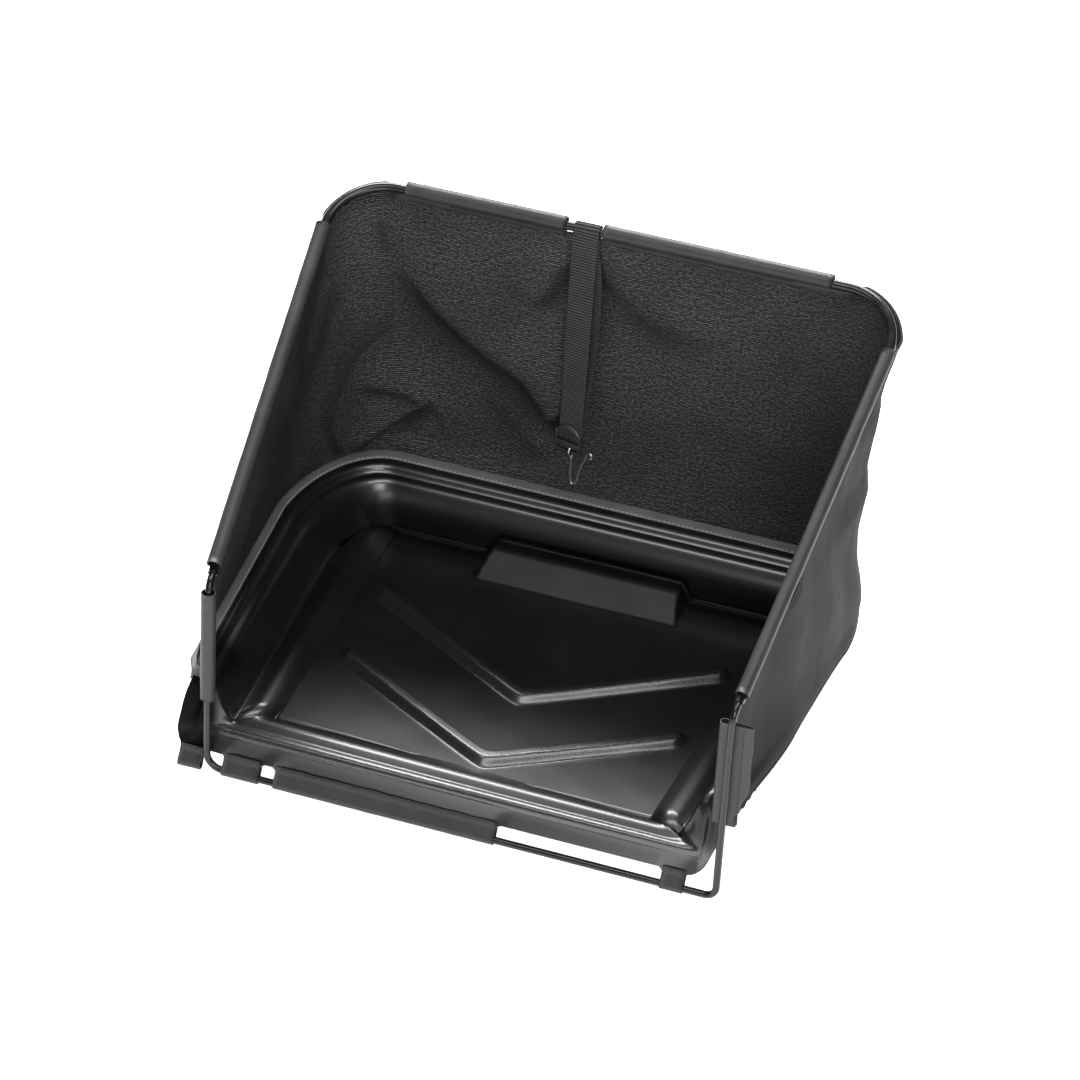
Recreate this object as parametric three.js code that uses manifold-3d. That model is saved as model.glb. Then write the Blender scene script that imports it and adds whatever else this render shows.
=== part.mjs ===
// Grass collection bag for a push reel mower: a moulded tray, a two-piece
// wire and tube frame, a woven bag sewn between them, and a hanging strap
// with a wire hook. Millimetres, +Z up, front (open side) towards -Y.
import * as THREE from "three";
import Module from "manifold-3d";

const wasm = await Module();
wasm.setup();
const { Manifold, Mesh: SolidMesh } = wasm;

// ---------------------------------------------------------------- dimensions
// The frame's own axes: X along the bottom bar, Y backwards, Z along the
// uprights, origin on the bottom bar's axis. The whole bag stands on the bar
// and on the tray's rear edge, so these axes lean back by LEAN.
const LEAN = THREE.MathUtils.degToRad(5.36);
const LIFT = 3.85; // bottom bar axis above the ground
// The origin is the middle of the footprint, on the ground.
const SHIFT_X = 9.5,
  SHIFT_Y = -170;

const ROD_R = 2.6; // lower rod, 5.2 mm
const TUBE_R = 3.5; // upper tube, 7 mm
const TUBE_BORE_R = 2.9;
const BAR_HALF = 190; // upright axes from the middle
const KNEE = new THREE.Vector3(191, 0, 153);
const BOW = new THREE.Vector3(215, 294, 325); // sharp upper corner
const BEND_LEFT = 12,
  BEND_RIGHT = 8,
  KNEE_BEND = 15,
  BOW_BEND = 42;
const TUBE_START = 11; // tube end from the knee corner, along the rake
const STUB = 26; // rod inside the tube

const TRAY_X = -12; // the tray sits a little left in its frame
const WALL = 1.6; // tray sheet
const FLOOR_Z = 26,
  RIM_Z = 71;
const VINYL = 0.9,
  CLOTH = 0.9,
  WEBBING = 1.4,
  STRAP_W = 19.4;

// -------------------------------------------------------------------- helpers
const V = (x, y, z) => new THREE.Vector3(x, y, z);
const cL = Math.cos(LEAN),
  sL = Math.sin(LEAN);
const stand = (p) =>
  V(p.x + SHIFT_X, p.y * cL + p.z * sL + SHIFT_Y, -p.y * sL + p.z * cL + LIFT);
const lerp = (a, b, t) => a + (b - a) * t;
const mix = (a, b, t) => a.clone().lerp(b, t);

function geometryOf(points, faces, place = stand) {
  const pos = new Float32Array(points.length * 3);
  points.forEach((p, i) => pos.set(place(p).toArray(), i * 3));
  const g = new THREE.BufferGeometry();
  g.setAttribute("position", new THREE.BufferAttribute(pos, 3));
  g.setIndex(faces.flat());
  g.computeVertexNormals();
  return g;
}
function toSolid(g) {
  const made = new Manifold(
    new SolidMesh({
      numProp: 3,
      vertProperties: g.attributes.position.array,
      triVerts: new Uint32Array(g.index.array),
    }),
  );
  return made;
}
function fromSolid(s) {
  const m = s.getMesh(),
    n = m.numProp,
    v = new Float32Array(m.numVert * 3);
  for (let i = 0; i < m.numVert; i++)
    v.set(m.vertProperties.subarray(i * n, i * n + 3), i * 3);
  const g = new THREE.BufferGeometry();
  g.setAttribute("position", new THREE.BufferAttribute(v, 3));
  g.setIndex(new THREE.BufferAttribute(new Uint32Array(m.triVerts), 1));
  g.computeVertexNormals();
  return g;
}

// A thick sheet over a grid of surface points; the thickness lies on the side
// opposite to the grid's normal (cross of the first and second directions).
function sheet(grid, thick, place = stand, both = false) {
  const nu = grid.length,
    nv = grid[0].length;
  const id = (i, j) => i * nv + j;
  const pts = grid.flat();
  const nrm = pts.map(() => V(0, 0, 0));
  for (let i = 0; i < nu - 1; i++)
    for (let j = 0; j < nv - 1; j++) {
      const a = grid[i][j],
        b = grid[i + 1][j],
        c = grid[i + 1][j + 1],
        d = grid[i][j + 1];
      const n = c.clone().sub(a).cross(d.clone().sub(b));
      [id(i, j), id(i + 1, j), id(i + 1, j + 1), id(i, j + 1)].forEach((k) =>
        nrm[k].add(n),
      );
    }
  nrm.forEach((n) => n.normalize());
  const up = both ? thick / 2 : 0,
    down = both ? thick / 2 : thick;
  const top = pts.map((p, k) => p.clone().addScaledVector(nrm[k], up));
  const low = pts.map((p, k) => p.clone().addScaledVector(nrm[k], -down));
  const all = top.concat(low),
    N = pts.length,
    f = [];
  for (let i = 0; i < nu - 1; i++)
    for (let j = 0; j < nv - 1; j++) {
      const a = id(i, j),
        b = id(i + 1, j),
        c = id(i + 1, j + 1),
        d = id(i, j + 1);
      f.push([a, b, c], [a, c, d], [N + a, N + c, N + b], [N + a, N + d, N + c]);
    }
  const rim = [];
  for (let i = 0; i < nu - 1; i++) rim.push([id(i, 0), id(i + 1, 0)]);
  for (let j = 0; j < nv - 1; j++) rim.push([id(nu - 1, j), id(nu - 1, j + 1)]);
  for (let i = nu - 1; i > 0; i--) rim.push([id(i, nv - 1), id(i - 1, nv - 1)]);
  for (let j = nv - 1; j > 0; j--) rim.push([id(0, j), id(0, j - 1)]);
  rim.forEach(([a, b]) => f.push([a, N + a, N + b], [a, N + b, b]));
  return geometryOf(all, f, place);
}

// Frames carried along a path without twist.
function framesAlong(path, first) {
  const n = path.length,
    tan = path.map((p, i) =>
      path[Math.min(n - 1, i + 1)].clone().sub(path[Math.max(0, i - 1)]).normalize(),
    );
  let u = first.clone().addScaledVector(tan[0], -first.dot(tan[0])).normalize();
  return path.map((p, i) => {
    u = u.clone().addScaledVector(tan[i], -u.dot(tan[i])).normalize();
    return { p, t: tan[i], u, w: tan[i].clone().cross(u).normalize() };
  });
}
// A closed outline (u, w pairs, counter-clockwise seen against the path)
// carried along a path, with flat ends.
function extrude(outline, path, first, place = stand) {
  const fr = framesAlong(path, first),
    k = outline.length,
    pts = [],
    f = [];
  fr.forEach((q) =>
    outline.forEach(([a, b]) =>
      pts.push(q.p.clone().addScaledVector(q.u, a).addScaledVector(q.w, b)),
    ),
  );
  for (let i = 0; i < fr.length - 1; i++)
    for (let j = 0; j < k; j++) {
      const a = i * k + j,
        b = i * k + ((j + 1) % k);
      f.push([a, b, b + k], [a, b + k, a + k]);
    }
  const tri = THREE.ShapeUtils.triangulateShape(
    outline.map(([a, b]) => new THREE.Vector2(a, b)),
    [],
  );
  const last = (fr.length - 1) * k;
  tri.forEach(([a, b, c]) => f.push([a, c, b], [last + a, last + b, last + c]));
  return geometryOf(pts, f, place);
}
const circle = (r, n = 14) =>
  Array.from({ length: n }, (_, i) => [
    r * Math.cos((2 * Math.PI * i) / n),
    r * Math.sin((2 * Math.PI * i) / n),
  ]);
// A round pipe: outer and inner walls joined by ring ends.
function pipe(path, rOut, rIn, first, n = 14) {
  const fr = framesAlong(path, first),
    pts = [],
    f = [];
  for (const r of [rOut, rIn])
    fr.forEach((q) =>
      circle(r, n).forEach(([a, b]) =>
        pts.push(q.p.clone().addScaledVector(q.u, a).addScaledVector(q.w, b)),
      ),
    );
  const S = fr.length * n;
  for (let i = 0; i < fr.length - 1; i++)
    for (let j = 0; j < n; j++) {
      const a = i * n + j,
        b = i * n + ((j + 1) % n);
      f.push([a, b, b + n], [a, b + n, a + n]);
      f.push([S + a, S + b + n, S + b], [S + a, S + a + n, S + b + n]);
    }
  for (const [o, flip] of [
    [0, true],
    [(fr.length - 1) * n, false],
  ])
    for (let j = 0; j < n; j++) {
      const a = o + j,
        b = o + ((j + 1) % n);
      if (flip) f.push([a, S + b, b], [a, S + a, S + b]);
      else f.push([a, b, S + b], [a, S + b, S + a]);
    }
  return geometryOf(pts, f);
}
// Straight legs with round bends between them.
function bentPath(corners, radii, steps = 6) {
  const out = [corners[0].clone()];
  for (let i = 1; i < corners.length - 1; i++) {
    const p = corners[i],
      a = corners[i - 1].clone().sub(p).normalize(),
      b = corners[i + 1].clone().sub(p).normalize();
    const half = a.angleTo(b) / 2,
      d = radii[i - 1] / Math.tan(half),
      axis = a.clone().add(b).normalize(),
      c = p.clone().addScaledVector(axis, radii[i - 1] / Math.sin(half));
    const s = p.clone().addScaledVector(a, d).sub(c),
      e = p.clone().addScaledVector(b, d).sub(c),
      ang = s.angleTo(e);
    for (let k = 0; k <= steps; k++) {
      const t = k / steps;
      out.push(
        c
          .clone()
          .addScaledVector(s, Math.sin((1 - t) * ang) / Math.sin(ang))
          .addScaledVector(e, Math.sin(t * ang) / Math.sin(ang)),
      );
    }
  }
  out.push(corners.at(-1).clone());
  return out;
}
// The outline of a strip of the given thickness along a flat open line.
function strip(line, t) {
  const n = line.length,
    left = [],
    right = [];
  line.forEach((p, i) => {
    const a = line[Math.max(0, i - 1)],
      b = line[Math.min(n - 1, i + 1)];
    let dx = b[0] - a[0],
      dy = b[1] - a[1];
    const l = Math.hypot(dx, dy);
    dx /= l;
    dy /= l;
    left.push([p[0] - (dy * t) / 2, p[1] + (dx * t) / 2]);
    right.push([p[0] + (dy * t) / 2, p[1] - (dx * t) / 2]);
  });
  return right.concat(left.reverse());
}
// A sleeve's section: a loop round the origin that ends in two flaps along +u.
function sleeveLine(r, slit, flapEnd, n = 14) {
  const a0 = Math.asin(slit / r),
    line = [[flapEnd, slit]];
  for (let i = 0; i <= n; i++) {
    const a = lerp(a0, 2 * Math.PI - a0, i / n);
    line.push([r * Math.cos(a), r * Math.sin(a)]);
  }
  line.push([flapEnd, -slit]);
  return line;
}

const group = new THREE.Group();
const finish = {
  tray: new THREE.MeshStandardMaterial({ color: 0x101011, roughness: 0.28, metalness: 0 }),
  paint: new THREE.MeshStandardMaterial({ color: 0x1d1d1e, roughness: 0.35, metalness: 0.3 }),
  cloth: new THREE.MeshStandardMaterial({ color: 0x161617, roughness: 0.9, metalness: 0 }),
  vinyl: new THREE.MeshStandardMaterial({ color: 0x2b2b2c, roughness: 0.55, metalness: 0 }),
  webbing: new THREE.MeshStandardMaterial({ color: 0x131314, roughness: 0.85, metalness: 0 }),
  buckle: new THREE.MeshStandardMaterial({ color: 0x121213, roughness: 0.3, metalness: 0 }),
  zinc: new THREE.MeshStandardMaterial({ color: 0xb9bbbd, roughness: 0.35, metalness: 0.9 }),
};
function add(name, geometry, material) {
  const m = new THREE.Mesh(geometry, finish[material]);
  m.name = name;
  group.add(m);
  return m;
}

// ---------------------------------------------------------------------- frame
const rake = BOW.clone().sub(KNEE).normalize(); // right side
const rakeL = V(-rake.x, rake.y, rake.z);
const kneeL = V(-KNEE.x, KNEE.y, KNEE.z);
const stubEnd = TUBE_START + STUB;
add(
  "lower_frame_rod",
  extrude(
    circle(ROD_R, 12),
    bentPath(
      [
        kneeL.clone().addScaledVector(rakeL, stubEnd),
        kneeL,
        V(-BAR_HALF, 0, 0),
        V(BAR_HALF, 0, 0),
        KNEE,
        KNEE.clone().addScaledVector(rake, stubEnd),
      ],
      [KNEE_BEND, BEND_LEFT, BEND_RIGHT, KNEE_BEND],
      6,
    ),
    V(1, 0, 0),
  ),
  "paint",
);
const bowL = V(-BOW.x, BOW.y, BOW.z);
const bowPath = bentPath(
  [
    kneeL.clone().addScaledVector(rakeL, TUBE_START),
    bowL,
    BOW,
    KNEE.clone().addScaledVector(rake, TUBE_START),
  ],
  [BOW_BEND, BOW_BEND],
  9,
);
add("upper_frame_tube", pipe(bowPath, TUBE_R, TUBE_BORE_R, V(1, 0, 0), 14), "paint");

// ----------------------------------------------------------------------- tray
// Rings run round the tray from its outer edge down to the floor. Each ring
// has four sides, with the same number of points on every ring.
const NX = 22, // cells along the front and the rear
  NY = 18, // cells along each side
  NC = 4; // cells of each side that belong to a corner
// ring: half width at the front and its growth per mm of depth, rear line,
// corner size at the rear, front line at the left, middle and right, heights.
const RINGS = [
  { hw: 198.0, g: 0.1, rear: 336, cx: 58, cy: 104, front: [3.6, 3.2, 3.6], z: 71.2, zf: 11, zr: 72.2, fx: [-210, 168], k: 0 },
  { hw: 187.2, g: 0.1, rear: 321, cx: 48, cy: 90, front: [10, 8.4, 8.4], z: 70, zf: 23, zr: 70, fx: [-197, 172], k: 1 },
  { hw: 180.5, g: 0.095, rear: 312, cx: 44, cy: 82, front: [11.4, 8.8, 8.6], z: 61, zf: 26.6, zr: 62, fx: [-192, 173], k: 2 },
  { hw: 174.6, g: 0.087, rear: 306.5, cx: 40, cy: 74, front: [13.6, 10, 9.2], z: 48, zf: 27.6, zr: 48, fx: [-190, 173], k: 3 },
  { hw: 165.5, g: 0.067, rear: 305, cx: 32, cy: 60, front: [18, 15, 14], z: 27.2, zf: 27.6, zr: 28, fx: [-177, 160], k: 4 },
  { hw: 156.2, g: 0.055, rear: 303, cx: 14, cy: 22, front: [25.5, 21.6, 20], z: 31.6, zf: 30.2, zr: 26.4, fx: [-167, 146], k: 5 },
  { hw: 151.2, g: 0.055, rear: 302, cx: 10, cy: 16, front: [28.5, 24.6, 23], z: 31.6, zf: 30.2, zr: 26.2, fx: [-162, 141], k: 6 },
  { hw: 141.4, g: 0.035, rear: 301, cx: 3, cy: 4, front: [38, 37, 31.5], z: 26, zf: 26, zr: 26, fx: [-152.5, 130], k: 7 },
];
const smooth = (t) => t * t * (3 - 2 * t);
function frontLine(r, t) {
  // t 0 left, 1 right: a shallow bow through three depths
  const [a, b, c] = r.front;
  return a * (1 - t) * (1 - 2 * t) + 4 * b * t * (1 - t) + c * t * (2 * t - 1);
}
// One ring as four lists of points: front (left to right), right (front to
// rear), rear (left to right) and left (front to rear).
function ringSides(r) {
  const ux = (y) => r.hw + r.g * y;
  const last = RINGS.length - 1;
  const sharp = 1 - r.k / last; // 1 outside, 0 on the floor
  const yc = r.rear - r.cy,
    frontStart = Math.max(r.front[0], 6);
  const side = (sgn) => {
    // corner start at the front, straight, then the rear corner's first half
    const out = [];
    const y0 = sgn < 0 ? lerp(r.front[0], 22, sharp) : lerp(r.front[2], 26, sharp);
    for (let i = 0; i <= NY; i++) {
      if (i < NC) {
        out.push(null); // filled by the front corner
      } else if (i <= NY - NC) {
        const t = (i - NC) / (NY - 2 * NC);
        const y = lerp(y0, yc, t);
        let z = r.z;
        out.push(V(TRAY_X + sgn * ux(y), y, z));
      } else {
        const a = (((i - (NY - NC)) / NC) * Math.PI) / 4;
        const x = ux(yc) - r.cx + r.cx * Math.cos(a),
          y = yc + r.cy * Math.sin(a);
        const t = smooth(a / (Math.PI / 2));
        out.push(V(TRAY_X + sgn * x, y, lerp(r.z, r.zr, t)));
      }
    }
    return out;
  };
  const left = side(-1),
    right = side(1);
  const rear = [];
  for (let i = 0; i <= NX; i++) {
    const half = ux(yc) - r.cx;
    if (i < NC || i > NX - NC) {
      const s = i < NC ? -1 : 1,
        m = i < NC ? i : NX - i;
      const a = Math.PI / 4 + ((m / NC) * Math.PI) / 4;
      const x = half + r.cx * Math.cos(a),
        y = yc + r.cy * Math.sin(a);
      rear.push(V(TRAY_X + s * x, y, lerp(r.z, r.zr, smooth(a / (Math.PI / 2)))));
    } else {
      const t = (i - NC) / (NX - 2 * NC);
      rear.push(V(TRAY_X + lerp(-half, half, t), r.rear, r.zr));
    }
  }
  const front = [];
  for (let i = 0; i <= NX; i++) {
    const t = i / NX;
    if (i < NC || i > NX - NC) front.push(null);
    else {
      const u = (i - NC) / (NX - 2 * NC);
      const inset = lerp(3, 16, sharp);
      const x = lerp(r.fx[0] + inset, r.fx[1] - inset, u);
      front.push(V(x, frontLine(r, u), r.zf));
    }
  }
  // Front corners: a curve from the side's first straight point to the front's
  // first straight point through the corner's own points.
  const corner = (from, to, guide) => {
    const c = new THREE.CatmullRomCurve3([from, ...guide, to], false, "centripetal");
    return Array.from({ length: 2 * NC + 1 }, (_, i) => c.getPoint(i / (2 * NC)));
  };
  const gl = GUIDES_LEFT[r.k].map((p) => V(...p)),
    gr = GUIDES_RIGHT[r.k].map((p) => V(...p));
  const cl = corner(left[NC], front[NC], gl),
    cr = corner(right[NC], front[NX - NC], gr);
  for (let i = 0; i <= NC; i++) {
    left[NC - i] = cl[i].clone();
    front[i] = cl[NC + i].clone();
    right[NC - i] = cr[i].clone();
    front[NX - i] = cr[NC + i].clone();
  }
  left[0] = front[0] = cl[NC].clone();
  right[0] = front[NX] = cr[NC].clone();
  left[NY] = rear[0];
  right[NY] = rear[NX];
  return { front, right, rear, left };
}
// Points that each ring passes through between side and front.
const GUIDES_LEFT = [
  [[-206, 9, 68], [-209.5, 5.5, 54], [-212.5, 4.2, 38], [-214.5, 3.8, 23], [-211, 3.6, 12.5]],
  [[-196.8, 13, 66], [-197.5, 11, 54], [-199.5, 10, 40], [-201, 9.6, 29.5], [-197, 9.8, 24]],
  [[-190.5, 14.5, 56], [-192.5, 12.5, 44], [-194.5, 11.8, 34], [-193.5, 11.4, 28.5]],
  [[-186.8, 17, 42], [-189, 14.6, 34], [-189.6, 13.6, 29.5]],
  [[-178.6, 22, 27.4], [-178, 19, 27.4]],
  [[-169.6, 27, 31.4], [-167, 25.6, 30.8]],
  [[-164.6, 30, 31.4], [-161.6, 28.6, 30.6]],
  [[-154.2, 39, 26], [-153.2, 38.2, 26]],
];
const GUIDES_RIGHT = [
  [[187.0, 16, 66], [188.0, 12, 52], [186.5, 8, 40], [183, 5, 30], [177.5, 3.9, 17], [169, 3.5, 9.6]],
  [[176.4, 18, 64], [176.6, 14, 52], [176.4, 11.5, 40], [176.4, 10, 31], [174.4, 9, 25]],
  [[170.4, 18.6, 55], [171.4, 14.6, 44], [172.4, 11.2, 34], [173, 9.4, 28.6]],
  [[164.8, 19, 42], [167.6, 14, 34], [170.4, 10.6, 29.4]],
  [[156.4, 20, 27.4], [158, 16, 27.4]],
  [[146.8, 23, 31.4], [146, 21, 30.8]],
  [[141.8, 26, 31.4], [141, 24, 30.6]],
  [[131.4, 33, 26], [130.6, 32, 26]],
];

function trayShell() {
  const rings = RINGS.map(ringSides);
  const pts = [],
    index = [];
  // one loop of points per ring, starting at the front left corner
  const loopOf = (s) => [
    ...s.front.slice(0, -1),
    ...s.right.slice(0, -1),
    ...s.rear.slice(1).reverse(),
    ...s.left.slice(1).reverse(),
  ];
  const loops = rings.map(loopOf);
  const P = loops[0].length;
  loops.forEach((l) => l.forEach((p) => pts.push(p)));
  const quads = [];
  for (let r = 0; r < loops.length - 1; r++)
    for (let i = 0; i < P; i++) {
      const a = r * P + i,
        b = r * P + ((i + 1) % P);
      quads.push([a, b, b + P, a + P]);
    }
  // the floor inside the last ring
  const base = (loops.length - 1) * P,
    s = rings.at(-1);
  const at = (i, j) => {
    if (j === 0) return base + i;
    if (i === NX) return base + NX + j;
    if (j === NY) return base + NX + NY + (NX - i);
    if (i === 0) return (base + 2 * NX + NY + (NY - j));
    return base + P + (i - 1) * (NY - 1) + (j - 1);
  };
  for (let i = 1; i < NX; i++)
    for (let j = 1; j < NY; j++) {
      const u = i / NX,
        v = j / NY;
      const p = mix(s.front[i], s.rear[i], v)
        .add(mix(s.left[j], s.right[j], u))
        .sub(
          mix(
            mix(s.front[0], s.front[NX], u),
            mix(s.rear[0], s.rear[NX], u),
            v,
          ),
        );
      pts.push(p);
    }
  for (let i = 0; i < NX; i++)
    for (let j = 0; j < NY; j++)
      quads.push([at(i, j), at(i + 1, j), at(i + 1, j + 1), at(i, j + 1)]);
  // thickness along the averaged normals, on the underside
  const nrm = pts.map(() => V(0, 0, 0));
  quads.forEach(([a, b, c, d]) => {
    const n = pts[c].clone().sub(pts[a]).cross(pts[d].clone().sub(pts[b]));
    [a, b, c, d].forEach((k) => nrm[k].add(n.clone().normalize()));
  });
  nrm.forEach((n) => n.normalize());
  const low = pts.map((p, k) => p.clone().addScaledVector(nrm[k], -WALL));
  const N = pts.length,
    f = [];
  quads.forEach(([a, b, c, d]) => {
    f.push([a, b, c], [a, c, d], [N + a, N + c, N + b], [N + a, N + d, N + c]);
  });
  for (let i = 0; i < P; i++) {
    const a = i,
      b = (i + 1) % P;
    f.push([a, N + a, N + b], [a, N + b, b]);
  }
  return geometryOf(pts.concat(low), f, (p) => p);
}

// A rib with sloping flanks on the floor: its ridge line, and the foot line in
// front of it, from end to end.
function loft(sections) {
  // sections: lists of points, each a closed outline with the same count
  const k = sections[0].length,
    pts = sections.flat(),
    f = [];
  for (let i = 0; i < sections.length - 1; i++)
    for (let j = 0; j < k; j++) {
      const a = i * k + j,
        b = i * k + ((j + 1) % k);
      f.push([a, b, b + k], [a, b + k, a + k]);
    }
  for (let j = 1; j < k - 1; j++) f.push([0, j + 1, j]);
  const L = (sections.length - 1) * k;
  for (let j = 1; j < k - 1; j++) f.push([L, L + j, L + j + 1]);
  return toSolid(geometryOf(pts, f, (p) => p));
}
// outline across a rib at plan point (x, y): rear foot, ridge, brow, front foot
function ribSection(x, y, h, sink, inset = 0) {
  const z = FLOOR_Z;
  return [
    V(x, y + 4.5 - inset, z - sink),
    V(x, y + 0.6 - inset, z + h - inset),
    V(x, y - 9.5 + inset, z + h - 1.2 - inset),
    V(x, y - 14.5 + inset, z - sink),
  ];
}
const CHEVRONS = [
  { l: [-144, 226], a: [-2, 138.5], r: [126, 227] },
  { l: [-138, 138.5], a: [0, 56.5], r: [121.5, 136.5] },
];
function chevron(c, h, sink, inset, cutEnds) {
  const dl = V(c.l[0] - c.a[0], c.l[1] - c.a[1], 0).normalize(),
    dr = V(c.r[0] - c.a[0], c.r[1] - c.a[1], 0).normalize();
  const e = cutEnds ? -1.8 : 3.2;
  const end = (p, d, s, hh) =>
    ribSection(p[0] + d.x * s, p[1] + d.y * s, hh, sink, inset);
  return loft([
    end(c.l, dl, e, cutEnds ? h : 0.6),
    end(c.l, dl, -1.8, h),
    end(c.a, dl, 0, h),
    end(c.r, dr, -1.8, h),
    end(c.r, dr, e, cutEnds ? h : 0.6),
  ].slice(cutEnds ? 1 : 0, cutEnds ? 4 : 5));
}
function wedge(sink, inset) {
  // a low block by the rear wall with a sloping front face
  const z = FLOOR_Z;
  const sec = (s) => {
    const xb = s < 0 ? -88 + inset * 1.6 : 71 - inset * 1.6,
      xt = s < 0 ? -83 + inset * 1.3 : 64.5 - inset * 1.3;
    return [
      V(xb, 311, z - sink),
      V(xt, 311, 40 - inset),
      V(xt, 290 + inset * 0.4, 40 - inset),
      V(xb, 265.5 + inset * 1.7, z - sink),
    ];
  };
  return loft([sec(-1), sec(1)]);
}
function box(x0, x1, y0, y1, z0, z1) {
  return Manifold.cube([x1 - x0, y1 - y0, z1 - z0]).translate([x0, y0, z0]);
}
// Tabs of vinyl along the bottom bar, and the tongues of the front flange that
// they are sewn to.
const TABS = [
  [-211.5, -194.5],
  [-178, -150.5],
  [-138.5, 27.5],
  [150, 166.5],
];
let tray = toSolid(trayShell());
for (const c of CHEVRONS) {
  tray = tray.add(chevron(c, 5.6, 0.6, 0, false));
}
{
  // the wedge, trimmed to what lies in front of the rear wall's outer face
  tray = tray.add(wedge(0.6, 0).subtract(box(-120, 120, 306.6, 330, 0, 100)));
}
for (const c of CHEVRONS)
  tray = tray.subtract(chevron(c, 5.6, WALL + 1.2, WALL, true));
tray = tray.subtract(
  wedge(WALL + 1.2, WALL).subtract(box(-120, 120, 303.4, 330, 0, 100)),
);
for (const [x0, x1] of TABS)
  tray = tray.add(box(x0 + 0.8, x1 - 0.8, 3.3, 5.2, 5.2, 13.0));
const stood = tray.simplify(0.02).transform([
  1, 0, 0, 0,
  0, cL, -sL, 0,
  0, sL, cL, 0,
  SHIFT_X, SHIFT_Y, LIFT, 1,
]);
add("tray", fromSolid(stood), "tray");

// ------------------------------------------------------------------ front tabs
TABS.forEach(([x0, x1], i) => {
  // section in the plane across the bar: u = +y, w = +z
  const line = [
    [2.5, 12.6],
    [1.6, 8.2],
    [-1.2, 4.6],
  ];
  for (let k = 0; k <= 10; k++) {
    const a = THREE.MathUtils.degToRad(lerp(142, 352, k / 10));
    line.push([3.4 * Math.cos(a), 3.4 * Math.sin(a)]);
  }
  line.push([4.6, 2.2], [6.3, 5.6], [7.2, 12.2]);
  // path along +x: u = y, w = x cross y = z
  add(
    "front_tab_" + (i + 1),
    extrude(strip(line, VINYL), [V(x0, 0, 0), V(x1, 0, 0)], V(0, 1, 0)),
    "vinyl",
  );
});

// --------------------------------------------------------------------- sleeves
const legLength = BOW.clone().sub(KNEE).length();
function legPoint(s, y) {
  const t = (y - KNEE.y) / (BOW.y - KNEE.y);
  return V(s * lerp(KNEE.x, BOW.x, t), lerp(KNEE.y, BOW.y, t), lerp(KNEE.z, BOW.z, t));
}
const RAKE_FROM = 15,
  RAKE_TO = 256;
for (const [name, s] of [["left", -1], ["right", 1]]) {
  const a = legPoint(s, RAKE_FROM),
    b = legPoint(s, RAKE_TO),
    t = b.clone().sub(a).normalize();
  // flaps point down into the side panel
  const down = V(s * 0.06, 0.5, -0.86);
  down.addScaledVector(t, -down.dot(t)).normalize();
  add(
    "rake_sleeve_" + name,
    extrude(strip(sleeveLine(4.3, 0.62, 9.5), VINYL), [a, mix(a, b, 0.5), b], down),
    "vinyl",
  );
}
for (const [name, x0, x1] of [
  ["left", -163, -41],
  ["right", -12.5, 158],
])
  add(
    "top_sleeve_" + name,
    extrude(
      strip(sleeveLine(4.35, 0.62, 10), VINYL),
      [V(x0, BOW.y, BOW.z), V(x1, BOW.y, BOW.z)],
      V(0, 0.16, -0.98).normalize(),
    ),
    "vinyl",
  );
add(
  "upright_sleeve_left",
  extrude(
    strip(sleeveLine(4.95, 0.62, 10.2, 16), VINYL),
    [V(-190.25, 0, 59), V(-190.6, 0, 148)],
    V(0, 1, 0),
  ),
  "vinyl",
);
{
  // the right sleeve is a narrow loop that has slipped behind the rod, with
  // its sewn flap standing out to the right
  const r = 3.1,
    line = [[204.6, 5.5]];
  line.push([192.5, 4.55]);
  for (let k = 0; k <= 12; k++) {
    const a = THREE.MathUtils.degToRad(lerp(285, 78, k / 12));
    line.push([187.6 + r * Math.cos(a), 7.2 + r * Math.sin(a)]);
  }
  line.push([192.8, 8.2], [204.6, 7.0]);
  // path along +z with u = +x gives w = z cross x = +y
  add(
    "upright_sleeve_right",
    extrude(strip(line, VINYL), [V(0, 0, 60), V(0, 0, 142)], V(1, 0, 0)),
    "vinyl",
  );
}

// Bindings behind the two upper corners, where the sleeves are cut away.
for (const [name, s] of [["left", -1], ["right", 1]]) {
  const c = s < 0 ? bowL : BOW,
    k = s < 0 ? kneeL : KNEE,
    other = s < 0 ? BOW : bowL;
  const arc = bentPath([k, c, other], [BOW_BEND + 0.5], 9).slice(2, -1);
  const along = c.clone().sub(k).normalize();
  const across = other.clone().sub(c).normalize();
  const back = along.clone().cross(across).multiplyScalar(s < 0 ? 1 : -1).normalize();
  if (back.y < 0) back.negate();
  // a flat strip that lies behind the tube and stands out past it
  const fr = framesAlong(arc, back);
  const grid = fr.map((q) => {
    let out = q.t.clone().cross(back).normalize();
    const centre = mix(c, mix(k, other, 0.5), 0.3);
    if (out.dot(q.p.clone().sub(centre)) < 0) out.negate();
    return [-1.2, 1.2, 3.6].map((d) =>
      q.p.clone().addScaledVector(out, d).addScaledVector(back, 5.2 - Math.max(0, d - 1) * 0.35),
    );
  });
  if (s > 0) grid.reverse();
  add("corner_binding_" + name, sheet(grid, VINYL, stand, true), "vinyl");
}

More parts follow.
